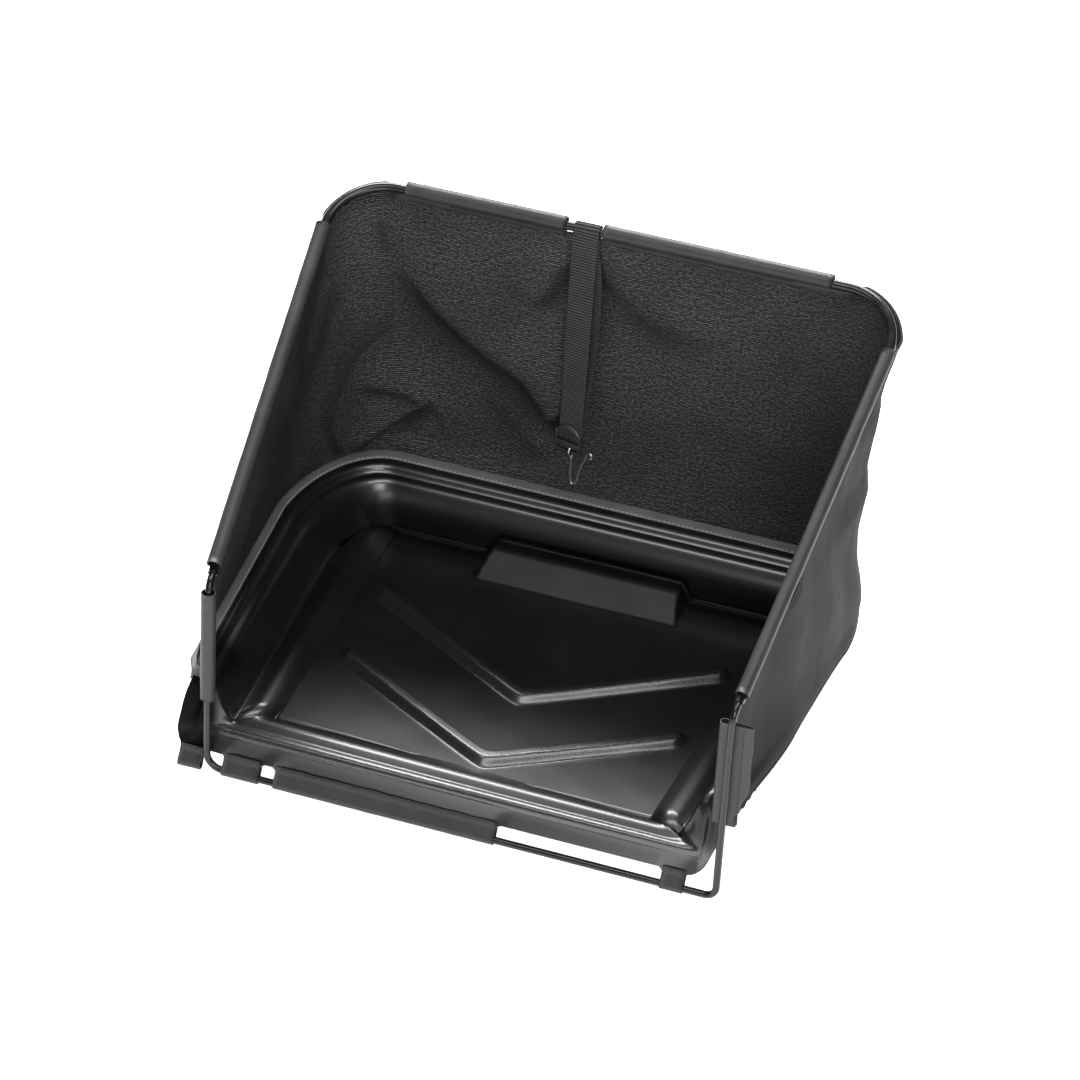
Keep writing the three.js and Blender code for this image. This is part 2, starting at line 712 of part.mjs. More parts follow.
// --------------------------------------------------------------------- the bag
// One wrap of cloth: its upper edge follows the bow, its lower edge the rim.
const outer = ringSides(RINGS[0]);
function lowerEdge() {
  // left front -> rear -> right front, outside the rim
  const pts = [];
  for (let j = NC - 1; j <= NY; j++) pts.push(outer.left[j].clone());
  for (let i = 1; i < NX; i++) pts.push(outer.rear[i].clone());
  for (let j = NY; j >= NC - 1; j--) pts.push(outer.right[j].clone());
  const n = pts.length;
  return pts.map((p, i) => {
    const a = pts[Math.max(0, i - 1)],
      b = pts[Math.min(n - 1, i + 1)];
    const t = b.clone().sub(a);
    const out = V(-t.y, t.x, 0).normalize();
    if (out.dot(p.clone().sub(V(TRAY_X, 170, 0))) < 0) out.negate();
    return p.clone().setZ(RIM_Z + 1.6).addScaledVector(out, 1.9);
  });
}
const arcLength = (pts) => {
  const s = [0];
  for (let i = 1; i < pts.length; i++) s.push(s[i - 1] + pts[i].distanceTo(pts[i - 1]));
  return s;
};
function pointOn(pts, s, d) {
  let i = 1;
  while (i < pts.length - 1 && s[i] < d) i++;
  return mix(pts[i - 1], pts[i], (d - s[i - 1]) / (s[i] - s[i - 1]));
}
export const CLOTH_COLUMNS = [];
{
  const low = lowerEdge(),
    ls = arcLength(low);
  // upper edge: just under the tube and sleeves
  const up = bentPath(
    [legPoint(-1, 14), bowL, BOW, legPoint(1, 14)],
    [BOW_BEND, BOW_BEND],
    9,
  );
  const us = arcLength(up);
  // matched marks on both edges: front, corner start, corner end
  const lowMarks = [0, 222, 350, ls.at(-1) - 350, ls.at(-1) - 222, ls.at(-1)];
  const legEnd = arcLength([legPoint(-1, 14), bowL]).at(-1) - 42;
  const upMarks = [0, legEnd, legEnd + 66, us.at(-1) - legEnd - 66, us.at(-1) - legEnd, us.at(-1)];
  const cells = [9, 7, 14, 7, 9],
    rows = 9;
  const grid = [];
  for (let m = 0; m < 5; m++)
    for (let k = m ? 1 : 0; k <= cells[m]; k++) {
      const t = k / cells[m];
      const L = pointOn(low, ls, lerp(lowMarks[m], lowMarks[m + 1], t)),
        U = pointOn(up, us, lerp(upMarks[m], upMarks[m + 1], t));
      const q = (m + t) / 5; // 0 left front, 1 right front
      // clear of the flange where it turns
      if (m === 1 || m === 3) {
        const c = V(TRAY_X, 200, L.z);
        L.addScaledVector(L.clone().sub(c).normalize(), 1.1);
      }
      // the right panel hangs wider than the rim near the front
      if (q > 0.5) L.x += 17.5 * smooth(Math.min(1, Math.max(0, (235 - L.y) / 215)));
      if (q < 0.5) L.x -= 2.6 * Math.max(0, 1 - (L.y - 18) / 25);
      // the cloth starts below the flaps of the sleeves
      const dir = L.clone().sub(U).normalize();
      const clear = m === 0 || m === 4 ? 12.4 : m === 2 ? 10.8 : lerp(12.4, 10.8, m === 1 ? t : 1 - t);
      const A = U.clone().addScaledVector(dir, clear);
      const col = [];
      for (let r = 0; r <= rows; r++) {
        const v = r / rows;
        const p = mix(A, L, v);
        // soft sag and bulge away from the straight line
        const mid = Math.sin(Math.PI * v);
        if (m === 2) p.y += 2.0 * mid;
        if (m === 0 || m === 4) p.x += (q < 0.5 ? 1 : -1) * 3.0 * mid * Math.min(1, L.y / 60);
        if (m === 1 || m === 3) {
          p.y -= 7 * mid * Math.sin(Math.PI * t) + 2 * mid * (m === 1 ? t : 1 - t);
          p.x += (q < 0.5 ? 1 : -1) * (5 * mid * Math.sin(Math.PI * t) + 3 * mid * (m === 1 ? 1 - t : t));
        }
        col.push(p);
      }
      col.push(L.clone().setZ(RIM_Z - 6.5)); // the hem, straight down past the rim
      grid.push(col);
      CLOTH_COLUMNS.push(col);
    }
  add("bag_fabric", sheet(grid, CLOTH, stand, true), "cloth");

  // hem tape: from under the rim's flange out to the inside of the cloth
  const tape = [];
  let column = -1;
  for (let m = 0; m < 5; m++)
    for (let k = m ? 1 : 0; k <= cells[m]; k++) {
      column++;
      if (column < 2 || column > grid.length - 3) continue; // stops short of the front
      const t = k / cells[m];
      const d = lerp(lowMarks[m], lowMarks[m + 1], t);
      const L = pointOn(low, ls, d),
        col = grid[column];
      const foot = col.at(-1);
      const q = (m + t) / 5;
      const n = pointOn(low, ls, Math.min(ls.at(-1), d + 1)).sub(pointOn(low, ls, Math.max(0, d - 1)));
      const out = V(-n.y, n.x, 0).normalize();
      if (out.dot(L.clone().sub(V(TRAY_X, 170, 0))) < 0) out.negate();
      const inner = L.clone().addScaledVector(out, -7).setZ(RIM_Z - WALL - 1.5);
      const edge = foot.clone().addScaledVector(out, -1.35).setZ(RIM_Z - WALL - 3.6);
      const low2 = foot.clone().addScaledVector(out, -1.35).setZ(RIM_Z - 6.4);
      tape.push([low2, edge, mix(edge, inner, 0.4), inner]);
    }
  add("rim_hem_tape", sheet(tape, 0.8, stand, true), "vinyl");
}

// ------------------------------------------------------------ strap and hook
// These hang straight down, so they are laid out in ground axes.
const here = (p) => p;
const hang = stand(V(-24.5, BOW.y, BOW.z)); // tube centre at the strap
const TWIST = THREE.MathUtils.degToRad(-13.5);
const buckleAt = V(hang.x - 6, hang.y - 7.5, hang.z - 182); // middle of the buckle
const uB = V(Math.cos(TWIST), Math.sin(TWIST), 0),
  nB = V(Math.sin(TWIST), -Math.cos(TWIST), 0); // towards the front
{
  const r = TUBE_R + 0.35 + WEBBING / 2;
  const path = [];
  const topBar = buckleAt.clone().add(V(0, 0, 11.0));
  // front run, upwards
  const frontTop = hang.clone().add(V(0, -r, -4));
  const start = topBar.clone().addScaledVector(nB, 2.6).add(V(0, 0, -1.2));
  for (let k = 0; k <= 7; k++) {
    const t = k / 7;
    path.push({ p: mix(start, frontTop, t).add(V(0, -1.5 * Math.sin(Math.PI * t), 0)), tw: TWIST * (1 - smooth(t)) });
  }
  for (let k = 0; k <= 11; k++) {
    const a = THREE.MathUtils.degToRad(lerp(180, -72, k / 11));
    path.push({ p: hang.clone().add(V(0, r * Math.cos(a), r * Math.sin(a))), tw: 0 });
  }
  for (const [x, y, z] of [[0, -1.4, -7.6], [0.2, -2.4, -12]])
    path.push({ p: hang.clone().add(V(x, y, z)), tw: 0 });
  // rear run, bellied out to the back and returned to the buckle
  const rearTop = hang.clone().add(V(0.4, -2.6, -18)),
    end = topBar.clone().addScaledVector(nB, -2.6).add(V(0, 0, -1.2));
  for (let k = 0; k <= 8; k++) {
    const t = k / 8;
    path.push({
      p: mix(rearTop, end, t).add(V(5.2 * Math.sin(Math.PI * t), 3.4 * Math.sin(Math.PI * Math.pow(t, 0.9)), 0)),
      tw: TWIST * smooth(t),
    });
  }
  const grid = path.map((q, i) => {
    const u = V(Math.cos(q.tw), Math.sin(q.tw), 0);
    return [-0.5, -0.17, 0.17, 0.5].map((f) => q.p.clone().addScaledVector(u, f * STRAP_W));
  });
  add("strap_webbing", sheet(grid, WEBBING, here, true), "webbing");
}
{
  // ladder buckle: a frame with three cross bars, upper end rounded
  const W = 22.8,
    H = 27,
    T = 2.6;
  const put = (s) =>
    s.transform([
      uB.x, uB.y, 0, 0,
      -nB.x, -nB.y, 0, 0,
      0, 0, 1, 0,
      buckleAt.x, buckleAt.y, buckleAt.z, 1,
    ]);
  const slab = (x, y0, y1, z0, z1) => box(-x / 2, x / 2, y0, y1, z0, z1);
  let b = slab(W, -T / 2, T / 2, -H / 2, H / 2);
  // rounded upper corners
  const edge = Manifold.cylinder(T + 2, 9, 9, 20, true).rotate([90, 0, 0]);
  const top = slab(W - 18, -T, T, H / 2 - 9, H / 2)
    .add(edge.translate([-W / 2 + 9, 0, H / 2 - 9]))
    .add(edge.translate([W / 2 - 9, 0, H / 2 - 9]));
  b = b.subtract(slab(W + 2, -T, T, H / 2 - 9, H / 2 + 1)).add(
    slab(W, -T / 2, T / 2, H / 2 - 9.05, H / 2).intersect(top),
  );
  b = b
    .subtract(slab(20.2, -T, T, 1.4, 8.6)) // upper slot
    .subtract(slab(20.2, -T, T, -9.2, -2.0)) // lower slot
    .add(slab(20.4, -T / 2 - 0.8, T / 2 - 0.4, -2.1, 1.5)); // middle bar
  add("strap_buckle", fromSolid(put(b)), "buckle");
  // hook: a closed eye on the lowest bar, a long shank and a return
  const bar = buckleAt.clone().add(V(0, 0, -11.35));
  const at = (a, b2, c) =>
    bar.clone().addScaledVector(uB, a).addScaledVector(nB, b2).add(V(0, 0, c));
  const pts = [];
  const eyeR = 4.15;
  for (let k = 0; k <= 12; k++) {
    const a = THREE.MathUtils.degToRad(lerp(-66, 246, k / 12));
    pts.push(at(0.9, eyeR * Math.cos(a) , eyeR * Math.sin(a)));
  }
  const curve = new THREE.CatmullRomCurve3(
    [
      at(0.9, 0.6, -6.2),
      at(0.6, 0, -12),
      at(0.2, 0, -20),
      at(0.8, 0, -25.2),
      at(3.2, 0, -28),
      at(5.6, 0, -25.6),
      at(7.6, 0, -18),
      at(10.2, 0, -9),
      at(13.4, 0, -1.6),
      at(14.6, 0, 2.2),
      at(16.6, 0, 3.9),
      at(18.6, 0, 2.2),
      at(18.0, 0, -0.4),
    ],
    false,
    "centripetal",
  );
  const rest = curve.getPoints(34);
  const path = pts.concat(rest);
  add("strap_hook", extrude(circle(0.95, 8), path, V(1, 0, 0), here), "zinc");
}

export default group;
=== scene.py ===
import math

import bpy
import numpy as np
from mathutils import Matrix, Vector


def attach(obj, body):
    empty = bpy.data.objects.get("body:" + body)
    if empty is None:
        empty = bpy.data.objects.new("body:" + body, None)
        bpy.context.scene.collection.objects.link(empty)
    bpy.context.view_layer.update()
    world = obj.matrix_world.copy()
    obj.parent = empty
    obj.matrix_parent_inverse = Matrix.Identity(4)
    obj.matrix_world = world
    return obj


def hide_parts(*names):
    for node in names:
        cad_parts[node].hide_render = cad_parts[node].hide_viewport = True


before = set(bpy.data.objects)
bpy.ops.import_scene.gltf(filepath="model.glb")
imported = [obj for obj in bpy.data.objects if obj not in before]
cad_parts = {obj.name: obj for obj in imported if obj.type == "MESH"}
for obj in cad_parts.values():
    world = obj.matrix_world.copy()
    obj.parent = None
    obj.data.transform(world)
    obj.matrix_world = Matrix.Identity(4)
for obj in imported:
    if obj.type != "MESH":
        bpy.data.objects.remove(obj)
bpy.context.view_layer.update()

# ------------------------------------------------------------------ axes
# Shapes are written in the wire frame's own axes, in millimetres: X along the
# bottom bar, Y backwards, Z along the uprights. W() stands them on the ground.
LEAN = math.radians(5.36)
CL, SL = math.cos(LEAN), math.sin(LEAN)
SHIFT = np.array([9.5, -170.0, 3.85])


def W(p):
    p = np.asarray(p, float)
    x, y, z = p[..., 0], p[..., 1], p[..., 2]
    return (np.stack([x, y * CL + z * SL, -y * SL + z * CL], -1) + SHIFT) / 1000.0


def WD(d):
    x, y, z = d
    return np.array([x, y * CL + z * SL, -y * SL + z * CL])


def G(p):
    """Frame axes to ground axes, still in millimetres."""
    return W(p) * 1000.0


# The camera, fitted to the photograph in the same axes.
CAM = np.array([828.014, -2435.825, 1928.704])
CR = np.array([0.94037283, 0.3362951, 0.05103466])
CU = np.array([-0.22472652, 0.50162183, 0.83538825])
CF = np.array([-0.25533688, 0.79704526, -0.54728597])
FPX = 4584.423


def px(p):
    """Where a point lands in the 1080 x 1080 picture."""
    q = np.asarray(p, float) - CAM
    z = q @ CF
    return np.stack([540 + FPX * (q @ CR) / z, 540 - FPX * (q @ CU) / z], -1)


def ray(x, y):
    return CF + CR * (x - 540) / FPX - CU * (y - 540) / FPX


def on_plane(x, y, axis, value):
    d = ray(x, y)
    return CAM + d * (value - CAM[axis]) / d[axis]


def unit(v):
    v = np.asarray(v, float)
    return v / np.maximum(np.linalg.norm(v, axis=-1, keepdims=True), 1e-12)


def sstep(a, b, x):
    t = np.clip((np.asarray(x, float) - a) / (b - a), 0, 1)
    return t * t * (3 - 2 * t)


def lerp(a, b, t):
    return a + (b - a) * t


def waves(seed, n, lo, hi, dims):
    """A fixed sum of sines, for small unevenness. Wavelengths lo to hi."""
    r = np.random.default_rng(seed)
    k = []
    for _ in range(n):
        d = r.normal(size=dims)
        d /= np.linalg.norm(d)
        k.append((d * 2 * math.pi / math.exp(r.uniform(math.log(lo), math.log(hi))), r.uniform(0, 2 * math.pi)))

    def f(p):
        p = np.asarray(p, float)
        return sum(np.sin(p @ d + ph) for d, ph in k) / math.sqrt(n)

    return f


# ------------------------------------------------------------ mesh helpers
def build(name, verts, faces, mats, body="bag", slot=None, uv=None, index=None, smooth=True, ground=False):
    """verts in mm (frame axes, or ground axes when ground is set)."""
    v = np.asarray(verts, float)
    v = v / 1000.0 if ground else W(v)
    me = bpy.data.meshes.new(name)
    me.from_pydata(v.tolist(), [], [list(map(int, f)) for f in faces])
    me.validate(clean_customdata=False)
    me.update()
    me.polygons.foreach_set("use_smooth", [bool(smooth)] * len(me.polygons))
    for m in mats if isinstance(mats, (list, tuple)) else [mats]:
        me.materials.append(m)
    if index is not None:
        me.polygons.foreach_set("material_index", np.asarray(index, int).tolist())
    if uv is not None:
        layer = me.uv_layers.new(name="UVMap")
        li = np.zeros(len(me.loops), int)
        me.loops.foreach_get("vertex_index", li)
        layer.data.foreach_set("uv", (np.asarray(uv, float)[li] / 100.0).ravel())
    me.update()
    o = bpy.data.objects.new(name, me)
    bpy.context.scene.collection.objects.link(o)
    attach(o, body)
    return o


def grid_faces(nu, nv, close_u=False, close_v=False, base=0, flip=False):
    a = np.arange(nu * nv).reshape(nu, nv) + base
    if close_u:
        a = np.vstack([a, a[:1]])
    if close_v:
        a = np.hstack([a, a[:, :1]])
    f = np.stack([a[:-1, :-1], a[1:, :-1], a[1:, 1:], a[:-1, 1:]], -1).reshape(-1, 4)
    return f[:, ::-1] if flip else f


class Pile:
    """Collects several grids and solids into one mesh."""

    def __init__(self):
        self.v, self.f, self.uv, self.ix, self.n = [], [], [], [], 0

    def add(self, verts, faces, uv=None, index=0):
        verts = np.asarray(verts, float).reshape(-1, 3)
        self.v.append(verts)
        self.f += [[int(k) + self.n for k in f] for f in faces]
        self.uv.append(np.zeros((len(verts), 2)) if uv is None else np.asarray(uv, float).reshape(-1, 2))
        self.ix += [index] * len(faces)
        self.n += len(verts)

    def make(self, name, mats, **k):
        return build(name, np.vstack(self.v), self.f, mats, uv=np.vstack(self.uv), index=self.ix, **k)


def frames(path, first):
    path = np.asarray(path, float)
    t = np.empty_like(path)
    t[1:-1] = path[2:] - path[:-2]
    t[0], t[-1] = path[1] - path[0], path[-1] - path[-2]
    t = unit(t)
    u = np.empty_like(path)
    cur = np.asarray(first, float)
    for i in range(len(path)):
        cur = cur - t[i] * (cur @ t[i])
        cur = cur / np.linalg.norm(cur)
        u[i] = cur
    return t, u, np.cross(t, u)


def arclen(path):
    d = np.linalg.norm(np.diff(path, axis=0), axis=1)
    return np.concatenate([[0], np.cumsum(d)])


def resample(path, n):
    path = np.asarray(path, float)
    s = arclen(path)
    q = np.linspace(0, s[-1], n)
    return np.stack([np.interp(q, s, path[:, k]) for k in range(path.shape[1])], -1)


def smooth_path(pts, n, closed=False):
    """Centripetal Catmull-Rom through the points, evenly spaced."""
    p = np.asarray(pts, float)
    ext = np.vstack([2 * p[0] - p[1], p, 2 * p[-1] - p[-2]])
    out = []
    for i in range(1, len(ext) - 2):
        p0, p1, p2, p3 = ext[i - 1 : i + 3]
        t0 = 0.0
        t1 = t0 + max(np.linalg.norm(p1 - p0), 1e-6) ** 0.5
        t2 = t1 + max(np.linalg.norm(p2 - p1), 1e-6) ** 0.5
        t3 = t2 + max(np.linalg.norm(p3 - p2), 1e-6) ** 0.5
        t = np.linspace(t1, t2, 16, endpoint=False)[:, None]
        a1 = (t1 - t) / (t1 - t0) * p0 + (t - t0) / (t1 - t0) * p1
        a2 = (t2 - t) / (t2 - t1) * p1 + (t - t1) / (t2 - t1) * p2
        a3 = (t3 - t) / (t3 - t2) * p2 + (t - t2) / (t3 - t2) * p3
        b1 = (t2 - t) / (t2 - t0) * a1 + (t - t0) / (t2 - t0) * a2
        b2 = (t3 - t) / (t3 - t1) * a2 + (t - t1) / (t3 - t1) * a3
        out.append((t2 - t) / (t2 - t1) * b1 + (t - t1) / (t2 - t1) * b2)
    out.append(p[-1:])
    return resample(np.vstack(out), n)


def tube(path, radius, seg=20, first=(0, 0, 1), caps=True, bore=None):
    """A round bar or pipe along a path: vertices, faces and uv."""
    t, u, w = frames(path, first)
    n = len(path)
    r = np.broadcast_to(np.asarray(radius, float), (n,))
    a = np.linspace(0, 2 * math.pi, seg, endpoint=False)
    ring = lambda rr: path[:, None] + rr[:, None, None] * (np.cos(a)[None, :, None] * u[:, None] + np.sin(a)[None, :, None] * w[:, None])
    v = ring(r).reshape(-1, 3)
    f = grid_faces(n, seg, close_v=True).tolist()
    s = arclen(path)
    uv = np.stack(np.broadcast_arrays(s[:, None], (a * r.mean())[None, :]), -1).reshape(-1, 2)
    if caps and bore is None:
        # slightly rounded ends
        for end, sign in ((0, -1), (n - 1, 1)):
            k = len(v)
            c = path[end]
            rim = c + 0.82 * r[end] * (np.cos(a)[:, None] * u[end] + np.sin(a)[:, None] * w[end]) + sign * t[end] * r[end] * 0.22
            v = np.vstack([v, rim, (c + sign * t[end] * r[end] * 0.24)[None]])
            uv = np.vstack([uv, np.zeros((seg + 1, 2))])
            for j in range(seg):
                j2 = (j + 1) % seg
                q = [end * seg + j, end * seg + j2, k + j2, k + j]
                tri = [k + j, k + j2, k + seg]
                if sign < 0:
                    q, tri = q[::-1], tri[::-1]
                f.append(q)
                f.append(tri)
    if bore is not None:
        # rolled ends and the start of the bore inside
        for end, sign in ((0, -1), (n - 1, 1)):
            rings = [(r[end], 0), ((r[end] + bore) / 2, 0.35), (bore, 0), (bore, -14.0)]
            prev = None
            for rr, out in rings[1:]:
                k = len(v)
                v = np.vstack([v, path[end] + rr * (np.cos(a)[:, None] * u[end] + np.sin(a)[:, None] * w[end]) + sign * t[end] * out])
                uv = np.vstack([uv, np.zeros((seg, 2))])
                start = end * seg if prev is None else prev
                for j in range(seg):
                    j2 = (j + 1) % seg
                    q = [start + j, start + j2, k + j2, k + j]
                    f.append(q[::-1] if sign < 0 else q)
                prev = k
    return v, f, uv


def bent(corners, radii, steps=14):
    """Straight legs with round bends between them."""
    c = [np.asarray(p, float) for p in corners]
    out = [c[0]]
    for i in range(1, len(c) - 1):
        p = c[i]
        a, b = unit(c[i - 1] - p), unit(c[i + 1] - p)
        half = math.acos(np.clip(a @ b, -1, 1)) / 2
        d = radii[i - 1] / math.tan(half)
        o = p + unit(a + b) * radii[i - 1] / math.sin(half)
        s, e = p + a * d - o, p + b * d - o
        ang = math.acos(np.clip(unit(s) @ unit(e), -1, 1))
        for k in range(steps + 1):
            q = k / steps
            out.append(o + (s * math.sin((1 - q) * ang) + e * math.sin(q * ang)) / math.sin(ang))
    out.append(c[-1])
    return np.array(out)


def densify(path, step):
    out = [path[0]]
    for a, b in zip(path[:-1], path[1:]):
        n = max(1, int(np.linalg.norm(b - a) / step))
        out += [a + (b - a) * k / n for k in range(1, n + 1)]
    return np.array(out)


def strip_outline(line, t, round_ends=True):
    """A flat open line given thickness: a closed outline, rounded at its ends."""
    line = np.asarray(line, float)
    d = np.empty_like(line)
    d[1:-1] = line[2:] - line[:-2]
    d[0], d[-1] = line[1] - line[0], line[-1] - line[-2]
    d = unit(d)
    n = np.stack([-d[:, 1], d[:, 0]], -1)
    left, right = line + n * t / 2, line - n * t / 2
    e1, e0 = line[-1] + d[-1] * t * 0.42, line[0] - d[0] * t * 0.42
    return np.vstack([right, e1[None], left[::-1], e0[None]])


def extrude(outline, path, first, cap=True, vary=None, cyc=True):
    """A closed outline (or one per station) carried along a path."""
    path = np.asarray(path, float)
    t, u, w = frames(path, first) if np.ndim(first) == 1 else (None, None, None)
    if t is None:
        t = np.empty_like(path)
        t[1:-1] = path[2:] - path[:-2]
        t[0], t[-1] = path[1] - path[0], path[-1] - path[-2]
        t = unit(t)
        u = unit(first - t * np.sum(first * t, -1, keepdims=True))
        w = np.cross(t, u)
    n, k = len(path), len(outline[0]) if np.ndim(outline) == 3 else len(outline)
    o = np.broadcast_to(np.asarray(outline, float), (n, k, 2))
    v = (path[:, None] + o[..., :1] * u[:, None] + o[..., 1:] * w[:, None]).reshape(-1, 3)
    f = grid_faces(n, k, close_v=True).tolist()
    s = arclen(path)
    q = np.concatenate([[0], np.cumsum(np.linalg.norm(np.diff(o[0], axis=0), axis=1))])
    uv = np.stack(np.broadcast_arrays(s[:, None], q[None, :]), -1).reshape(-1, 2)
    if cap:
        half = k // 2
        for end in (0, n - 1):
            b = end * k
            ring = list(range(b, b + k))
            quads = []
            # the outline is right side then left side, so it closes across
            i, j = 0, k - 1
            while j - i > 1:
                if j - i == 2:
                    quads.append([b + i, b + i + 1, b + j])
                    break
                quads.append([b + i, b + i + 1, b + j - 1, b + j])
                i += 1
                j -= 1
            f += [q_[::-1] if end == 0 else q_ for q_ in quads]
    return v, f, uv


# -------------------------------------------------------------- materials
class Shader:
    def __init__(self, name, **sockets):
        self.m = bpy.data.materials.new(name)
        self.m.use_nodes = True
        self.t = self.m.node_tree
        self.n, self.l = self.t.nodes, self.t.links
        self.b = self.n["Principled BSDF"]
        for k, v in sockets.items():
            self.set(k.replace("_", " "), v)

    def set(self, key, value):
        s = self.b.inputs[key]
        s.default_value = (*value, 1.0) if isinstance(value, (tuple, list)) and len(value) == 3 and s.type == "RGBA" else value

    def node(self, kind, **props):
        n = self.n.new(kind)
        for k, v in props.items():
            if k in n.inputs.keys():
                n.inputs[k].default_value = v
            else:
                setattr(n, k, v)
        return n

    def link(self, a, b):
        self.l.new(a, b)

    def coords(self, which="Object", scale=(1, 1, 1), rot=(0, 0, 0)):
        c = self.node("ShaderNodeTexCoord")
        m = self.node("ShaderNodeMapping")
        m.inputs["Scale"].default_value = scale
        m.inputs["Rotation"].default_value = rot
        self.link(c.outputs[which], m.inputs["Vector"])
        return m.outputs["Vector"]

    def noise(self, vec, scale, detail=3.0, rough=0.55, distortion=0.0):
        n = self.node("ShaderNodeTexNoise")
        n.inputs["Scale"].default_value = scale
        n.inputs["Detail"].default_value = detail
        n.inputs["Roughness"].default_value = rough
        n.inputs["Distortion"].default_value = distortion
        self.link(vec, n.inputs["Vector"])
        return n.outputs["Fac"]

    def wave(self, vec, scale, axis="X", distortion=0.0, profile="SIN", dscale=1.0):
        n = self.node("ShaderNodeTexWave")
        n.bands_direction = axis
        n.wave_profile = profile
        n.inputs["Scale"].default_value = scale
        n.inputs["Distortion"].default_value = distortion
        n.inputs["Detail"].default_value = 2.0
        n.inputs["Detail Scale"].default_value = dscale
        self.link(vec, n.inputs["Vector"])
        return n.outputs["Fac"]

    def math(self, op, a, b=None, clamp=False):
        n = self.node("ShaderNodeMath")
        n.operation = op
        n.use_clamp = clamp
        for i, v in enumerate((a, b)):
            if v is None:
                continue
            if isinstance(v, (int, float)):
                n.inputs[i].default_value = v
            else:
                self.link(v, n.inputs[i])
        return n.outputs[0]

    def remap(self, v, a, b, c, d):
        n = self.node("ShaderNodeMapRange")
        n.inputs["From Min"].default_value = a
        n.inputs["From Max"].default_value = b
        n.inputs["To Min"].default_value = c
        n.inputs["To Max"].default_value = d
        self.link(v, n.inputs["Value"])
        return n.outputs["Result"]

    def ramp(self, v, stops):
        n = self.node("ShaderNodeValToRGB")
        e = n.color_ramp.elements
        while len(e) < len(stops):
            e.new(0.5)
        for el, (p, c) in zip(e, stops):
            el.position = p
            el.color = (c, c, c, 1) if isinstance(c, (int, float)) else (*c, 1)
        self.link(v, n.inputs["Fac"])
        return n.outputs["Color"]

    def bump(self, height, strength, distance, normal=None):
        n = self.node("ShaderNodeBump")
        n.inputs["Strength"].default_value = strength
        n.inputs["Distance"].default_value = distance
        self.link(height, n.inputs["Height"])
        if normal is not None:
            self.link(normal, n.inputs["Normal"])
        return n.outputs["Normal"]

    def out(self, key, value):
        self.link(value, self.b.inputs[key])


def cloth_material(name, base, fleck, pitch=1.3, rough=0.86, gain=1.0, bump=0.25, painted_fold_shade=False):
    """Plain-woven cloth: fine ribs across, broken into short light flecks, which can be darkened by a painted shade
    carried on the mesh.
    """
    s = Shader(name, Roughness=rough)
    s.set("Specular IOR Level", 0.18)
    uv = s.coords("UV", (100, 100, 100))  # one unit a millimetre
    rib = s.wave(uv, 0.314159 / pitch, "Y", 0.25, dscale=0.15)
    warp = s.wave(uv, 0.314159 / (pitch * 1.5), "X", 0.5, dscale=0.2)
    long = s.noise(s.coords("UV", (38, 100 / pitch, 100)), 1.0, 2.0, 0.6)
    fine = s.noise(uv, 0.9, 3.0, 0.7)
    big = s.noise(uv, 0.018, 3.0, 0.5)
    thread = s.math("MULTIPLY", s.remap(rib, 0.35, 1.0, 0.0, 1.0), s.remap(long, 0.38, 0.72, 0.1, 1.0))
    thread = s.math("MULTIPLY", thread, s.remap(warp, 0.0, 1.0, 0.55, 1.0))
    thread = s.math("MULTIPLY", thread, s.remap(fine, 0.3, 0.75, 0.5, 1.25))
    thread = s.math("MULTIPLY", thread, s.remap(big, 0.3, 0.7, 0.75, 1.2))
    if painted_fold_shade:
        # painted shade: the light flecks are darkened where the mesh's painted shade attribute is set
        at_ = s.node("ShaderNodeAttribute")
        at_.attribute_name = "cloth_painted_shade"
        thread = s.math("MULTIPLY", thread, s.remap(at_.outputs["Fac"], 0.0, 1.0, 1.0, 0.12))
    thread = s.math("MULTIPLY", thread, gain, clamp=True)
    s.out("Base Color", s.ramp(thread, [(0.0, base), (0.25, tuple(lerp(b, f, 0.25) for b, f in zip(base, fleck))), (1.0, fleck)]))
    h = s.math("ADD", s.math("MULTIPLY", rib, 0.7), s.math("MULTIPLY", warp, 0.35))
    h = s.math("ADD", h, s.math("MULTIPLY", fine, 0.35))
    s.out("Normal", s.bump(h, bump, 0.0004))
    return s.m


def vinyl_material(name, base, rough=0.5):
    s = Shader(name, Roughness=rough)
    s.set("Specular IOR Level", 0.3)
    o = s.coords("Object", (1, 1, 1))
    grain = s.noise(o, 900.0, 4.0, 0.65)
    patch = s.noise(o, 35.0, 4.0, 0.6)
    scuff = s.noise(o, 260.0, 2.0, 0.5, 0.6)
    lo = tuple(c * 0.8 for c in base)
    hi = tuple(c * 1.3 for c in base)
    s.out("Base Color", s.ramp(s.math("ADD", s.math("MULTIPLY", patch, 0.7), s.math("MULTIPLY", grain, 0.3)), [(0.3, lo), (0.7, hi)]))
    s.out("Roughness", s.remap(s.math("ADD", s.math("MULTIPLY", patch, 0.5), s.math("MULTIPLY", scuff, 0.5)), 0.3, 0.7, rough - 0.08, rough + 0.12))
    s.out("Normal", s.bump(s.math("ADD", s.math("MULTIPLY", grain, 0.6), s.math("MULTIPLY", scuff, 0.5)), 0.22, 0.0003))
    return s.m


def paint_material(name, base, rough=0.22):
    s = Shader(name, Roughness=rough, Metallic=0.0)
    s.set("Specular IOR Level", 0.4)
    o = s.coords("Object")
    peel = s.noise(o, 420.0, 3.0, 0.5)
    patch = s.noise(o, 60.0, 4.0, 0.6)
    chips = s.noise(o, 700.0, 5.0, 0.7)
    s.out("Base Color", s.ramp(s.math("ADD", s.math("MULTIPLY", patch, 0.85), s.math("MULTIPLY", chips, 0.15)), [(0.25, tuple(c * 0.75 for c in base)), (0.75, tuple(c * 1.35 for c in base))]))
    s.out("Roughness", s.remap(patch, 0.3, 0.7, rough - 0.06, rough + 0.1))
    s.out("Normal", s.bump(peel, 0.12, 0.0003))
    return s.m


